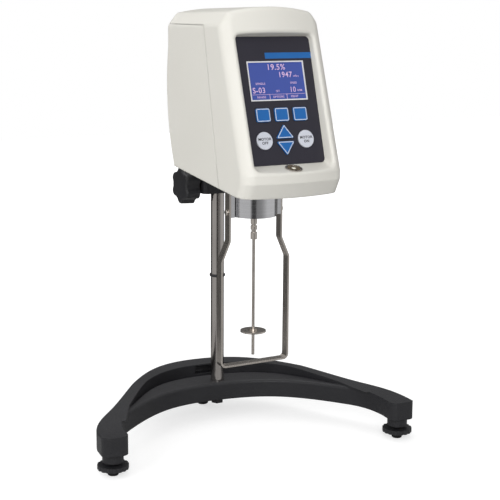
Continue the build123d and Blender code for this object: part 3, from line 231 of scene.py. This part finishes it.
plasticLooks = {
    "housingPlastic": {
        "light": toLinear(219, 217, 210), "dark": toLinear(213, 211, 203), "cloud": 12.0,
        "speck": 1500.0, "speckDepth": 0.25, "rough": (0.40, 0.48), "grain": 1800.0, "round": 0.4,
        "bump": 0.12, "depth": 0.0002, "soft": 0.0022, "shader": {"Specular IOR Level": 0.4},
    },
    "charcoalCoat": {
        "light": toLinear(38, 38, 41), "dark": toLinear(25, 25, 28), "cloud": 25.0, "speck": 900.0,
        "speckDepth": 0.9, "rough": (0.42, 0.58), "grain": 950.0, "round": 0.55, "bump": 0.6,
        "depth": 0.0007, "soft": 0.0012, "shader": {"Specular IOR Level": 0.42},
    },
    "blackPlastic": {
        "light": toLinear(36, 36, 39), "dark": toLinear(27, 27, 30), "cloud": 40.0, "speck": 1400.0,
        "speckDepth": 0.3, "rough": (0.36, 0.46), "grain": 1500.0, "round": 0.4, "bump": 0.2,
        "depth": 0.0003, "shader": {"Specular IOR Level": 0.5},
    },
    "footRubber": {
        "light": toLinear(38, 38, 38), "dark": toLinear(26, 26, 26), "cloud": 60.0, "speck": 1600.0,
        "speckDepth": 0.5, "rough": (0.7, 0.85), "grain": 1400.0, "round": 0.3, "bump": 0.3,
        "depth": 0.0003, "shader": {"Specular IOR Level": 0.3},
    },
    "panelFilm": {
        "light": toLinear(38, 36, 47), "dark": toLinear(32, 30, 41), "cloud": 20.0, "speck": 2500.0,
        "speckDepth": 0.4, "rough": (0.38, 0.5), "grain": 3500.0, "round": 0.3, "bump": 0.08,
        "depth": 0.0001, "shader": {"Specular IOR Level": 0.4},
    },
    "frameGrey": {
        "light": toLinear(222, 222, 224), "dark": toLinear(208, 208, 212), "cloud": 40.0,
        "speck": 2000.0, "speckDepth": 0.2, "rough": (0.3, 0.4), "grain": 2500.0, "round": 0.3,
        "bump": 0.05, "depth": 0.0001, "shader": {"Specular IOR Level": 0.5},
    },
    "keyBlue": {
        "light": toLinear(22, 100, 170), "dark": toLinear(18, 91, 160), "cloud": 60.0,
        "speck": 2500.0, "speckDepth": 0.3, "rough": (0.38, 0.48), "grain": 3000.0, "round": 0.3,
        "bump": 0.08, "depth": 0.0001, "shader": {"Specular IOR Level": 0.45},
    },
    "keyGrey": {
        "light": toLinear(206, 209, 218), "dark": toLinear(196, 199, 210), "cloud": 60.0,
        "speck": 2500.0, "speckDepth": 0.3, "rough": (0.38, 0.48), "grain": 3000.0, "round": 0.3,
        "bump": 0.08, "depth": 0.0001, "shader": {"Specular IOR Level": 0.45},
    },
    "boardGreen": {
        "light": toLinear(38, 104, 62), "dark": toLinear(26, 84, 48), "cloud": 90.0,
        "speck": 1200.0, "speckDepth": 0.5, "rough": (0.3, 0.45), "grain": 1200.0, "round": 0.3,
        "bump": 0.15, "depth": 0.0002, "shader": {"Specular IOR Level": 0.5},
    },
    "printWhite": {
        "light": toLinear(196, 208, 226), "dark": toLinear(184, 196, 216), "cloud": 90.0,
        "speck": 2500.0, "speckDepth": 0.3, "rough": (0.4, 0.5), "grain": 3000.0, "round": 0.3,
        "bump": 0.05, "depth": 0.0001, "shader": {"Specular IOR Level": 0.4},
    },
    "printPink": {
        "light": toLinear(222, 190, 222), "dark": toLinear(208, 176, 214), "cloud": 90.0,
        "speck": 2500.0, "speckDepth": 0.3, "rough": (0.4, 0.5), "grain": 3000.0, "round": 0.3,
        "bump": 0.05, "depth": 0.0001, "shader": {"Specular IOR Level": 0.3},
    },
    "printBlack": {
        "light": toLinear(34, 34, 40), "dark": toLinear(26, 26, 32), "cloud": 90.0, "speck": 2500.0,
        "speckDepth": 0.3, "rough": (0.45, 0.55), "grain": 3000.0, "round": 0.3, "bump": 0.05,
        "depth": 0.0001, "shader": {"Specular IOR Level": 0.4},
    },
}
metalLooks = {
    "brightSteel": {
        "light": (0.48, 0.45, 0.43, 1), "dark": (0.38, 0.355, 0.335, 1), "cloud": 30.0,
        "stretch": (900.0, 900.0, 14.0), "rough": (0.1, 0.18), "bump": 0.03, "depth": 0.0001,
        "shader": {"Metallic": 1.0},
    },
    "stainless": {
        "light": (0.62, 0.575, 0.53, 1), "dark": (0.49, 0.45, 0.41, 1), "cloud": 40.0,
        "stretch": (1500.0, 1500.0, 40.0), "rough": (0.2, 0.34), "bump": 0.08, "depth": 0.0001,
        "shader": {"Metallic": 1.0},
    },
    "turnedSteel": {
        "light": (0.68, 0.68, 0.69, 1), "dark": (0.58, 0.58, 0.6, 1), "cloud": 30.0,
        "stretch": (20.0, 20.0, 2600.0), "rough": (0.12, 0.2), "bump": 0.03, "depth": 0.0001,
        "shader": {"Metallic": 1.0},
    },
    "castAluminium": {
        "light": (0.72, 0.73, 0.74, 1), "dark": (0.6, 0.61, 0.62, 1), "cloud": 50.0,
        "stretch": (700.0, 700.0, 700.0), "rough": (0.35, 0.5), "bump": 0.2, "depth": 0.0003,
        "shader": {"Metallic": 1.0},
    },
    "turnedBrass": {
        "light": (0.76, 0.60, 0.30, 1), "dark": (0.62, 0.48, 0.24, 1), "cloud": 50.0,
        "stretch": (40.0, 40.0, 2000.0), "rough": (0.25, 0.38), "bump": 0.08, "depth": 0.0001,
        "shader": {"Metallic": 1.0},
    },
    "springSteel": {
        "light": (0.42, 0.45, 0.52, 1), "dark": (0.3, 0.33, 0.4, 1), "cloud": 60.0,
        "stretch": (1500.0, 1500.0, 40.0), "rough": (0.2, 0.3), "bump": 0.05, "depth": 0.0001,
        "shader": {"Metallic": 1.0},
    },
}
finishes = {name: mouldedPlastic(name, look) for name, look in plasticLooks.items()}
finishes.update({name: workedMetal(name, look) for name, look in metalLooks.items()})


def clearFinish(name, tint, look):
    material, tree, shader, place = startMaterial(name, look)
    deeper = tuple(c * 0.94 for c in tint[:3]) + (1.0,)
    tones = putGroup(tree, mottle, place, **{"Light tone": tint, "Dark tone": deeper,
                     "Cloud scale": 60.0, "Speck scale": 900.0, "Speck depth": 0.1})
    link(tree, tones.outputs["Colour"], shader.inputs["Base Color"])
    return material


clearLooks = {
    "levelFluid": (toLinear(112, 98, 74), {"Roughness": 0.08, "Coat Weight": 0.9, "Coat Roughness": 0.04}),
    "levelBubble": (toLinear(226, 222, 206), {"Roughness": 0.05, "Coat Weight": 1.0, "Coat Roughness": 0.03}),
    "pivotStone": (toLinear(170, 30, 60), {"Roughness": 0.08, "Coat Weight": 0.5, "Coat Roughness": 0.05}),
    "displayBlue": (toLinear(56, 77, 158), {"Roughness": 0.25, "Coat Weight": 0.5, "Coat Roughness": 0.12,
                                            "Specular IOR Level": 0.4}),
}
finishes.update({name: clearFinish(name, tint, look) for name, (tint, look) in clearLooks.items()})
nodeFinish = {
    "charcoalCoat": ["base_casting", "clamp_block", "rear_foot", "column_screw", "column_washer"],
    "brightSteel": ["column", "lift_pinion", "mounting_rod"],
    "stainless": ["guard_leg", "spindle", "coupling_nut", "pivot_shaft", "guard_leg_screws", "signal_disc",
                  "rod_nut", "motor_bridge", "level_case", "data_socket"],
    "turnedSteel": ["pivot_housing"],
    "castAluminium": ["chassis", "motor", "drive_shaft", "bottom_plate"],
    "turnedBrass": ["foot_bushes", "column_liner", "pinion_bush", "drive_bearing"],
    "springSteel": ["torsion_spring"],
    "pivotStone": ["pivot_jewel"],
    "housingPlastic": ["front_housing", "rear_cover"],
    "panelFilm": ["keypad_overlay"],
    "frameGrey": ["display_frame"],
    "displayBlue": ["display_module"],
    "keyBlue": ["key_left", "key_middle", "key_right", "key_up", "key_down"],
    "keyGrey": ["key_stop", "key_start"],
    "blackPlastic": ["lift_knob", "lock_screw", "tension_screw", "left_foot_screw", "right_foot_screw",
                     "power_inlet", "switch_body", "power_rocker", "angle_sensor", "stop_ring"],
    "footRubber": ["left_foot_pad", "right_foot_pad"],
    "levelFluid": ["level_vial"],
    "boardGreen": ["keypad_board", "main_board"],
}
for finish, names in nodeFinish.items():
    for name in names:
        mesh = nodes[name].data
        mesh.materials.clear()
        mesh.materials.append(finishes[finish])
unfinished = [name for name in nodes if not any(name in names for names in nodeFinish.values())]
print("finishes set, without one:", unfinished)

# ---- control panel print --------------------------------------------------
# back to front and height of the panel's top and lower edge, and of the ledge in front of it
panelPlace = {"top": (-0.03195, 0.4312), "low": (-0.0672, 0.3092), "ledge": (-0.087, 0.304)}
panelRise = Vector((0, *(panelPlace["top"][k] - panelPlace["low"][k] for k in (0, 1)))).normalized()
panelOut = Vector((0, -panelRise.z, panelRise.y))
panelFrame = Matrix((
    (1, 0, 0, 0),
    (0, panelRise.y, panelOut.y, panelPlace["top"][0]),
    (0, panelRise.z, panelOut.z, panelPlace["top"][1]),
    (0, 0, 0, 1)))


def meshObject(name, points, faces, finish, body, smooth=False):
    mesh = bpy.data.meshes.new(name)
    mesh.from_pydata(np.asarray(points).reshape(-1, 3).tolist(), [], [list(map(int, f)) for f in faces])
    mesh.validate()
    mesh.update()
    mesh.polygons.foreach_set("use_smooth", np.full(len(mesh.polygons), smooth))
    mesh.materials.append(finishes[finish])
    piece = bpy.data.objects.new(name, mesh)
    bpy.context.scene.collection.objects.link(piece)
    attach(piece, body)
    return piece


# every closed outline below runs counter-clockwise and has the same number of points at each corner


def roundedLoop(corners, inset, radius, steps=6):
    # each edge is moved inwards by inset, the edges meet again, and an arc of the radius takes each corner off
    corner = np.asarray(corners, float)
    along = np.roll(corner, -1, 0) - corner
    along /= np.linalg.norm(along, axis=1)[:, None]
    before = np.roll(along, 1, 0)
    inwards = np.stack((-along[:, 1], along[:, 0]), 1)
    wasInwards = np.roll(inwards, 1, 0)
    half = np.arccos(np.clip((-before * along).sum(1), -1, 1)) / 2
    middle = inwards + wasInwards
    middle /= np.linalg.norm(middle, axis=1)[:, None]
    centre = corner + middle * ((inset + radius) / np.sin(half))[:, None]
    first = np.arctan2(-wasInwards[:, 1], -wasInwards[:, 0])
    sweep = np.pi - 2 * half
    angle = first[:, None] + sweep[:, None] * np.linspace(0, 1, steps)[None]
    loop = centre[:, None] + radius * np.stack((np.cos(angle), np.sin(angle)), 2)
    return loop.reshape(-1, 2)


def onPanel(points, lift):
    # flat points, across and up from the panel's top in millimetres, set on the tilted panel in metres
    flat = np.asarray(points, float) / 1000
    local = np.column_stack((flat, np.full(len(flat), lift / 1000), np.ones(len(flat))))
    return (local @ np.array(panelFrame).T)[:, :3]


def ringPiece(name, outer, inner, lift, finish, body):
    count = len(outer)
    k = np.arange(count)
    faces = np.column_stack((k, (k + 1) % count, count + (k + 1) % count, count + k))
    return meshObject(name, onPanel(np.vstack((outer, inner)), lift), faces, finish, body)


def platePiece(name, loop, lift, finish, body):
    return meshObject(name, onPanel(loop, lift), [range(len(loop))], finish, body)


def rectangle(left, right, up, down):
    return [(left, -down), (right, -down), (right, -up), (left, -up)]


def wordsPiece(name, rows, finish, body, lift, weight=0.012):
    # every row is its words, left or centre across, baseline down, letter height, spread and which side it is
    # set from; weight thickens the strokes by that share of the letter height
    points, faces, used = [], [], 0
    for words, across, down, height, spread, side in rows:
        curve = bpy.data.curves.new(name, "FONT")
        curve.body = words
        curve.size = height / 0.7
        curve.align_x = side
        curve.space_character = 1.08
        curve.offset = height * weight
        curve.resolution_u = 3
        holder = bpy.data.objects.new(name, curve)
        bpy.context.scene.collection.objects.link(holder)
        bpy.context.view_layer.update()
        mesh = bpy.data.meshes.new_from_object(holder)
        flat = np.empty(len(mesh.vertices) * 3)
        mesh.vertices.foreach_get("co", flat)
        flat = flat.reshape(-1, 3)[:, :2] * (spread, 1.0) + (across, -down)
        points.append(flat)
        faces += [[v + used for v in polygon.vertices] for polygon in mesh.polygons]
        used += len(flat)
        bpy.data.objects.remove(holder)
        bpy.data.curves.remove(curve)
        bpy.data.meshes.remove(mesh)
    return meshObject(name, onPanel(np.vstack(points), lift), faces, finish, body)


softKeys = {"size": (15.6, 13.4), "down": 77.7, "round": 2.0,
            "across": {"key_left": -21.4, "key_middle": -0.5, "key_right": 20.4}}
arrowKeys = {"half": 10.1, "height": 13.9, "down": {"key_up": 94.3, "key_down": 111.1}, "round": 1.0}
roundKeys = {"across": {"key_stop": -23.4, "key_start": 23.4}, "down": 102.7,
             "words": {"key_stop": "OFF", "key_start": "ON"}, "rows": (-0.3, 3.6), "height": 2.5,
             "spread": 1.05, "weight": 0.045}
edging = {"from": 0.4, "to": 1.25, "lift": 1.24}
for name, across in softKeys["across"].items():
    w, h = (v / 2 for v in softKeys["size"])
    corners = np.array([(-w, -h), (w, -h), (w, h), (-w, h)]) + (across, -softKeys["down"])
    outer, inner = (roundedLoop(corners, edging[k], softKeys["round"] - edging[k]) for k in ("from", "to"))
    ringPiece(name + "_edging", outer, inner, edging["lift"], "printWhite", name + "_body")
for name, down in arrowKeys["down"].items():
    tip = arrowKeys["height"] / 2 * (1 if name == "key_up" else -1)
    corners = np.array([(-arrowKeys["half"], -tip), (arrowKeys["half"], -tip), (0, tip)])
    corners = (corners if tip > 0 else corners[::-1]) + (0, -down)
    outer = roundedLoop(corners, edging["from"], arrowKeys["round"] - 0.3)
    inner = roundedLoop(corners, edging["to"], 0.35)
    ringPiece(name + "_edging", outer, inner, edging["lift"], "printWhite", name + "_body")
for name, across in roundKeys["across"].items():
    rows = [(words, across, roundKeys["down"] + row, roundKeys["height"], roundKeys["spread"], "CENTER")
            for words, row in zip(("MOTOR", roundKeys["words"][name]), roundKeys["rows"])]
    wordsPiece(name + "_words", rows, "printBlack", name + "_body", edging["lift"],
               roundKeys["weight"])
platePiece("panel_bar", rectangle(-10.4, 42.3, 16.2, 22.1), 0.05, "keyBlue", "head")
screenRows = [
    ("19.5%", -10.0, 33.1, 5.6, 1.02, "LEFT"), ("1947", 2.0, 40.7, 5.4, 0.96, "LEFT"),
    ("S-03", -28.9, 55.8, 5.4, 0.98, "LEFT"), ("10", 12.9, 55.6, 5.3, 0.9, "LEFT"),
]
smallRows = [
    ("mPa\u00b7s", 19.0, 40.6, 2.1, 0.8, "LEFT"), ("SPINDLE", -24.6, 47.6, 2.0, 0.95, "LEFT"),
    ("SPEED", 14.4, 47.4, 2.0, 0.95, "LEFT"), ("SET", -2.8, 55.2, 1.9, 0.95, "LEFT"),
    ("RPM", 21.6, 55.0, 2.0, 0.95, "LEFT"), ("RANGE", -19.8, 60.9, 2.1, 0.95, "CENTER"),
    ("OPTIONS", -0.6, 60.9, 2.1, 0.95, "CENTER"), ("PRINT", 17.6, 60.9, 2.1, 0.95, "CENTER"),
]
screen = {"lift": -0.25, "half": 29.8, "rule": (57.2, 57.5), "barEnd": 62.2, "barHalf": 0.25,
          "bars": {"screen_bar_left": -10.4, "screen_bar_right": 8.9}}
wordsPiece("screen_figures", screenRows, "printPink", "head", screen["lift"])
wordsPiece("screen_labels", smallRows, "printPink", "head", screen["lift"])
platePiece("screen_rule", rectangle(-screen["half"], screen["half"], *screen["rule"]), screen["lift"],
           "printPink", "head")
for name, across in screen["bars"].items():
    loop = rectangle(across - screen["barHalf"], across + screen["barHalf"], screen["rule"][1], screen["barEnd"])
    platePiece(name, loop, screen["lift"], "printPink", "head")
print("panel print made")

# ---- bubble of the level ----------------------------------------------------
bubble = {"radius": 2.3, "ring": 3.6, "ringWidth": 0.28, "ringLift": 0.04, "lift": 0.05, "rise": 0.7,
          "rows": 8, "steps": 48}


def levelFrame():
    # the level's own top face: its normal leans with the ledge, and the farthest points along it give
    # the height
    vial = nodes["level_vial"]
    points = np.array([vial.matrix_world @ v.co for v in vial.data.vertices])
    back, front = panelPlace["low"], panelPlace["ledge"]
    slope = math.atan2(back[1] - front[1], back[0] - front[0])
    out = np.array((0.0, -math.sin(slope), math.cos(slope)))
    rise = np.array((0.0, math.cos(slope), math.sin(slope)))
    height = points @ out
    top = points[height > height.max() - 1e-5]
    centre = (top.min(0) + top.max(0)) / 2
    return centre, out, rise


def aboveLevel(radius, angle, lift):
    # distance and angle in the level's face, lifted along its normal, in millimetres
    centre, out, rise = levelFrame()
    across = np.array((1.0, 0.0, 0.0))
    r, a, h = np.broadcast_arrays(radius, angle, lift)
    return (centre + (r * np.cos(a))[..., None] * across / 1000 + (r * np.sin(a))[..., None] * rise / 1000
            + h[..., None] * out / 1000).reshape(-1, 3)


def gridFaces(rows, columns):
    i, j = np.meshgrid(np.arange(rows - 1), np.arange(columns), indexing="ij")
    k = (j + 1) % columns
    this, above = i * columns, (i + 1) * columns
    return np.stack((this + j, this + k, above + k, above + j), -1).reshape(-1, 4)


turnAngles = np.linspace(0, 2 * np.pi, bubble["steps"], endpoint=False)
# the ring is a flat band between two radii, and the bubble a dome whose height falls as the square of the
# radius
bandRadius = np.array((bubble["ring"] + bubble["ringWidth"], bubble["ring"]))[:, None]
bandPoints = aboveLevel(bandRadius, turnAngles[None], bubble["ringLift"])
meshObject("level_ring", bandPoints, gridFaces(2, bubble["steps"]), "printBlack", "head")
share = np.linspace(1, 0.02, bubble["rows"])[:, None]
domeRise = bubble["lift"] + bubble["rise"] * (1 - share ** 2)
domePoints = aboveLevel(bubble["radius"] * share, turnAngles[None], domeRise)
domeFaces = gridFaces(bubble["rows"], bubble["steps"])
meshObject("level_bubble", domePoints, domeFaces, "levelBubble", "head", smooth=True)
print("level made")

# ---- light, floor and camera ----------------------------------------------
lightPlan = {
    "keyLamp": {"at": (-0.75, -1.6, 0.95), "size": 0.9, "power": 18.5, "mirrored": True},
    "fillLamp": {"at": (-1.6, -0.4, 0.9), "size": 1.2, "power": 12.0, "mirrored": False},
    "topLamp": {"at": (0.1, 0.4, 1.9), "size": 1.3, "power": 6.0, "mirrored": True},
    "rimLamp": {"at": (-0.3, 1.6, 1.0), "size": 0.8, "power": 8.0, "mirrored": False},
    "world": 0.42,
    "overhead": 0.9,
    "bands": ((-180.0, 0.6), (-137.6, 0.6), (-129.6, 0.05), (-109.6, 0.05), (-105.6, 0.25),
              (-80.0, 0.33), (-62.0, 0.5), (-45.6, 0.66), (8.4, 0.65),
              (20.0, 0.1), (135.0, 0.1), (142.0, 0.6), (180.0, 0.6)),
    "aim": (0.0, 0.03, 0.24),
}


def placeLamp(name, plan):
    lamp = bpy.data.lights.new(name, "AREA")
    lamp.energy = plan["power"]
    lamp.size = plan["size"]
    holder = bpy.data.objects.new(name, lamp)
    holder.visible_glossy = plan["mirrored"]
    at = Vector(plan["at"])
    turn = (Vector(lightPlan["aim"]) - at).to_track_quat("-Z", "Y").to_matrix().to_4x4()
    holder.matrix_world = Matrix.Translation(at) @ turn
    bpy.context.scene.collection.objects.link(holder)


def makeFloor():
    # a pale floor that keeps shadows and reads as white behind the object
    half = 3.0
    mesh = bpy.data.meshes.new("floor")
    corners = [(-half, -half, 0), (half, -half, 0), (half, half, 0), (-half, half, 0)]
    mesh.from_pydata(corners, [], [range(4)])
    floor = bpy.data.objects.new("floor", mesh)
    bpy.context.scene.collection.objects.link(floor)
    material = bpy.data.materials.new("paleFloor")
    material.use_nodes = True
    tree = material.node_tree
    tree.nodes.clear()
    out = addNode(tree, "ShaderNodeOutputMaterial")
    plain = addNode(tree, "ShaderNodeBsdfDiffuse")
    plain.inputs[0].default_value = (0.5, 0.5, 0.5, 1)
    shaded = addNode(tree, "ShaderNodeBsdfDiffuse")
    shaded.inputs[0].default_value = (0.5, 0.5, 0.5, 1)
    glow = addNode(tree, "ShaderNodeEmission")
    far = addNode(tree, "ShaderNodeVectorMath", operation="LENGTH")
    link(tree, addNode(tree, "ShaderNodeTexCoord").outputs["Object"], far.inputs[0])
    fade = addNode(tree, "ShaderNodeMapRange", interpolation_type="SMOOTHSTEP")
    for socket, value in (("From Min", 0.3), ("From Max", 0.75), ("To Min", 0.65), ("To Max", 1.0)):
        fade.inputs[socket].default_value = value
    link(tree, far.outputs["Value"], fade.inputs["Value"])
    link(tree, fade.outputs[0], glow.inputs["Strength"])
    seen = addNode(tree, "ShaderNodeAddShader")
    link(tree, shaded.outputs[0], seen.inputs[0])
    link(tree, glow.outputs[0], seen.inputs[1])
    rays = addNode(tree, "ShaderNodeLightPath")
    picked = mathNode(tree, "MAXIMUM", rays.outputs["Is Camera Ray"], rays.outputs["Is Transmission Ray"])
    # polished steel mirrors the room in place of the floor, except close by
    gone = addNode(tree, "ShaderNodeMapRange", interpolation_type="SMOOTHSTEP")
    for socket, value in (("From Min", 0.25), ("From Max", 0.5)):
        gone.inputs[socket].default_value = value
    link(tree, far.outputs["Value"], gone.inputs["Value"])
    ground = addNode(tree, "ShaderNodeMixShader")
    link(tree, mathNode(tree, "MULTIPLY", gone.outputs[0], rays.outputs["Is Glossy Ray"]), ground.inputs[0])
    link(tree, plain.outputs[0], ground.inputs[1])
    link(tree, addNode(tree, "ShaderNodeBsdfTransparent").outputs[0], ground.inputs[2])
    mixed = addNode(tree, "ShaderNodeMixShader")
    link(tree, picked, mixed.inputs[0])
    link(tree, ground.outputs[0], mixed.inputs[1])
    link(tree, seen.outputs[0], mixed.inputs[2])
    link(tree, mixed.outputs[0], out.inputs[0])
    mesh.materials.append(material)


def makeWorld():
    world = bpy.data.worlds.new("studio")
    world.use_nodes = True
    tree = world.node_tree
    tree.nodes.clear()
    out = addNode(tree, "ShaderNodeOutputWorld")
    soft = addNode(tree, "ShaderNodeBackground")
    soft.inputs[0].default_value = (1, 1, 1, 1)
    soft.inputs[1].default_value = lightPlan["world"]
    # what polished steel mirrors: light and dark uprights all round the room, in degrees from the X axis,
    # and a light ceiling
    room = addNode(tree, "ShaderNodeBackground")
    way = addNode(tree, "ShaderNodeSeparateXYZ")
    link(tree, addNode(tree, "ShaderNodeTexCoord").outputs["Generated"], way.inputs[0])
    turned = mathNode(tree, "ARCTAN2", way.outputs[1], way.outputs[0])
    share = mathNode(tree, "ADD", mathNode(tree, "DIVIDE", turned, 2 * math.pi), 0.5)
    uprights = addNode(tree, "ShaderNodeValToRGB")
    stops = uprights.color_ramp.elements
    for degrees, level in lightPlan["bands"]:
        stop = {-180.0: stops[0], 180.0: stops[-1]}.get(degrees) or stops.new(degrees / 360 + 0.5)
        stop.color = (level, level, level, 1)
    link(tree, share, uprights.inputs[0])
    climb = addNode(tree, "ShaderNodeMapRange", interpolation_type="SMOOTHSTEP")
    for socket, value in (("From Min", 0.3), ("From Max", 0.8)):
        climb.inputs[socket].default_value = value
    link(tree, way.outputs[2], climb.inputs["Value"])
    ceiling = (lightPlan["overhead"],) * 3 + (1.0,)
    link(tree, mixColour(tree, climb.outputs[0], uprights.outputs[0], ceiling), room.inputs[0])
    room.inputs[1].default_value = 1.0
    white = addNode(tree, "ShaderNodeBackground")
    white.inputs[0].default_value = (1, 1, 1, 1)
    white.inputs[1].default_value = 1.0
    rays = addNode(tree, "ShaderNodeLightPath")
    picked = mathNode(tree, "MAXIMUM", rays.outputs["Is Camera Ray"], rays.outputs["Is Transmission Ray"])
    lit = addNode(tree, "ShaderNodeMixShader")
    link(tree, rays.outputs["Is Glossy Ray"], lit.inputs[0])
    link(tree, soft.outputs[0], lit.inputs[1])
    link(tree, room.outputs[0], lit.inputs[2])
    mixed = addNode(tree, "ShaderNodeMixShader")
    link(tree, picked, mixed.inputs[0])
    link(tree, lit.outputs[0], mixed.inputs[1])
    link(tree, white.outputs[0], mixed.inputs[2])
    link(tree, mixed.outputs[0], out.inputs[0])
    bpy.context.scene.world = world


cameraPlan = {"at": (-0.6251, -1.0987, 0.4616), "azimuth": -29.36, "pitch": 11.14, "roll": 0.37,
              "lens": 89.76, "shift": 0.0045}


def makeCamera():
    azimuth, pitch, roll = (math.radians(cameraPlan[k]) for k in ("azimuth", "pitch", "roll"))
    level = Vector((-math.sin(azimuth), math.cos(azimuth), 0))
    forward = level * math.cos(pitch) - Vector((0, 0, math.sin(pitch)))
    across = Vector((math.cos(azimuth), math.sin(azimuth), 0))
    up = across.cross(forward)
    right = across * math.cos(roll) + up * math.sin(roll)
    rise = up * math.cos(roll) - across * math.sin(roll)
    camera = bpy.data.cameras.new("camera")
    camera.lens = cameraPlan["lens"]
    camera.sensor_width = 36.0
    camera.shift_x = cameraPlan["shift"]
    camera.clip_start = 0.01
    holder = bpy.data.objects.new("camera", camera)
    turn = Matrix((right, rise, -forward)).transposed().to_4x4()
    holder.matrix_world = Matrix.Translation(Vector(cameraPlan["at"])) @ turn
    bpy.context.scene.collection.objects.link(holder)
    bpy.context.scene.camera = holder


makeCamera()
makeFloor()
makeWorld()
for lampName in ("keyLamp", "fillLamp", "topLamp", "rimLamp"):
    placeLamp(lampName, lightPlan[lampName])
bpy.context.scene.view_settings.view_transform = "Standard"
print("camera, floor and lights placed")
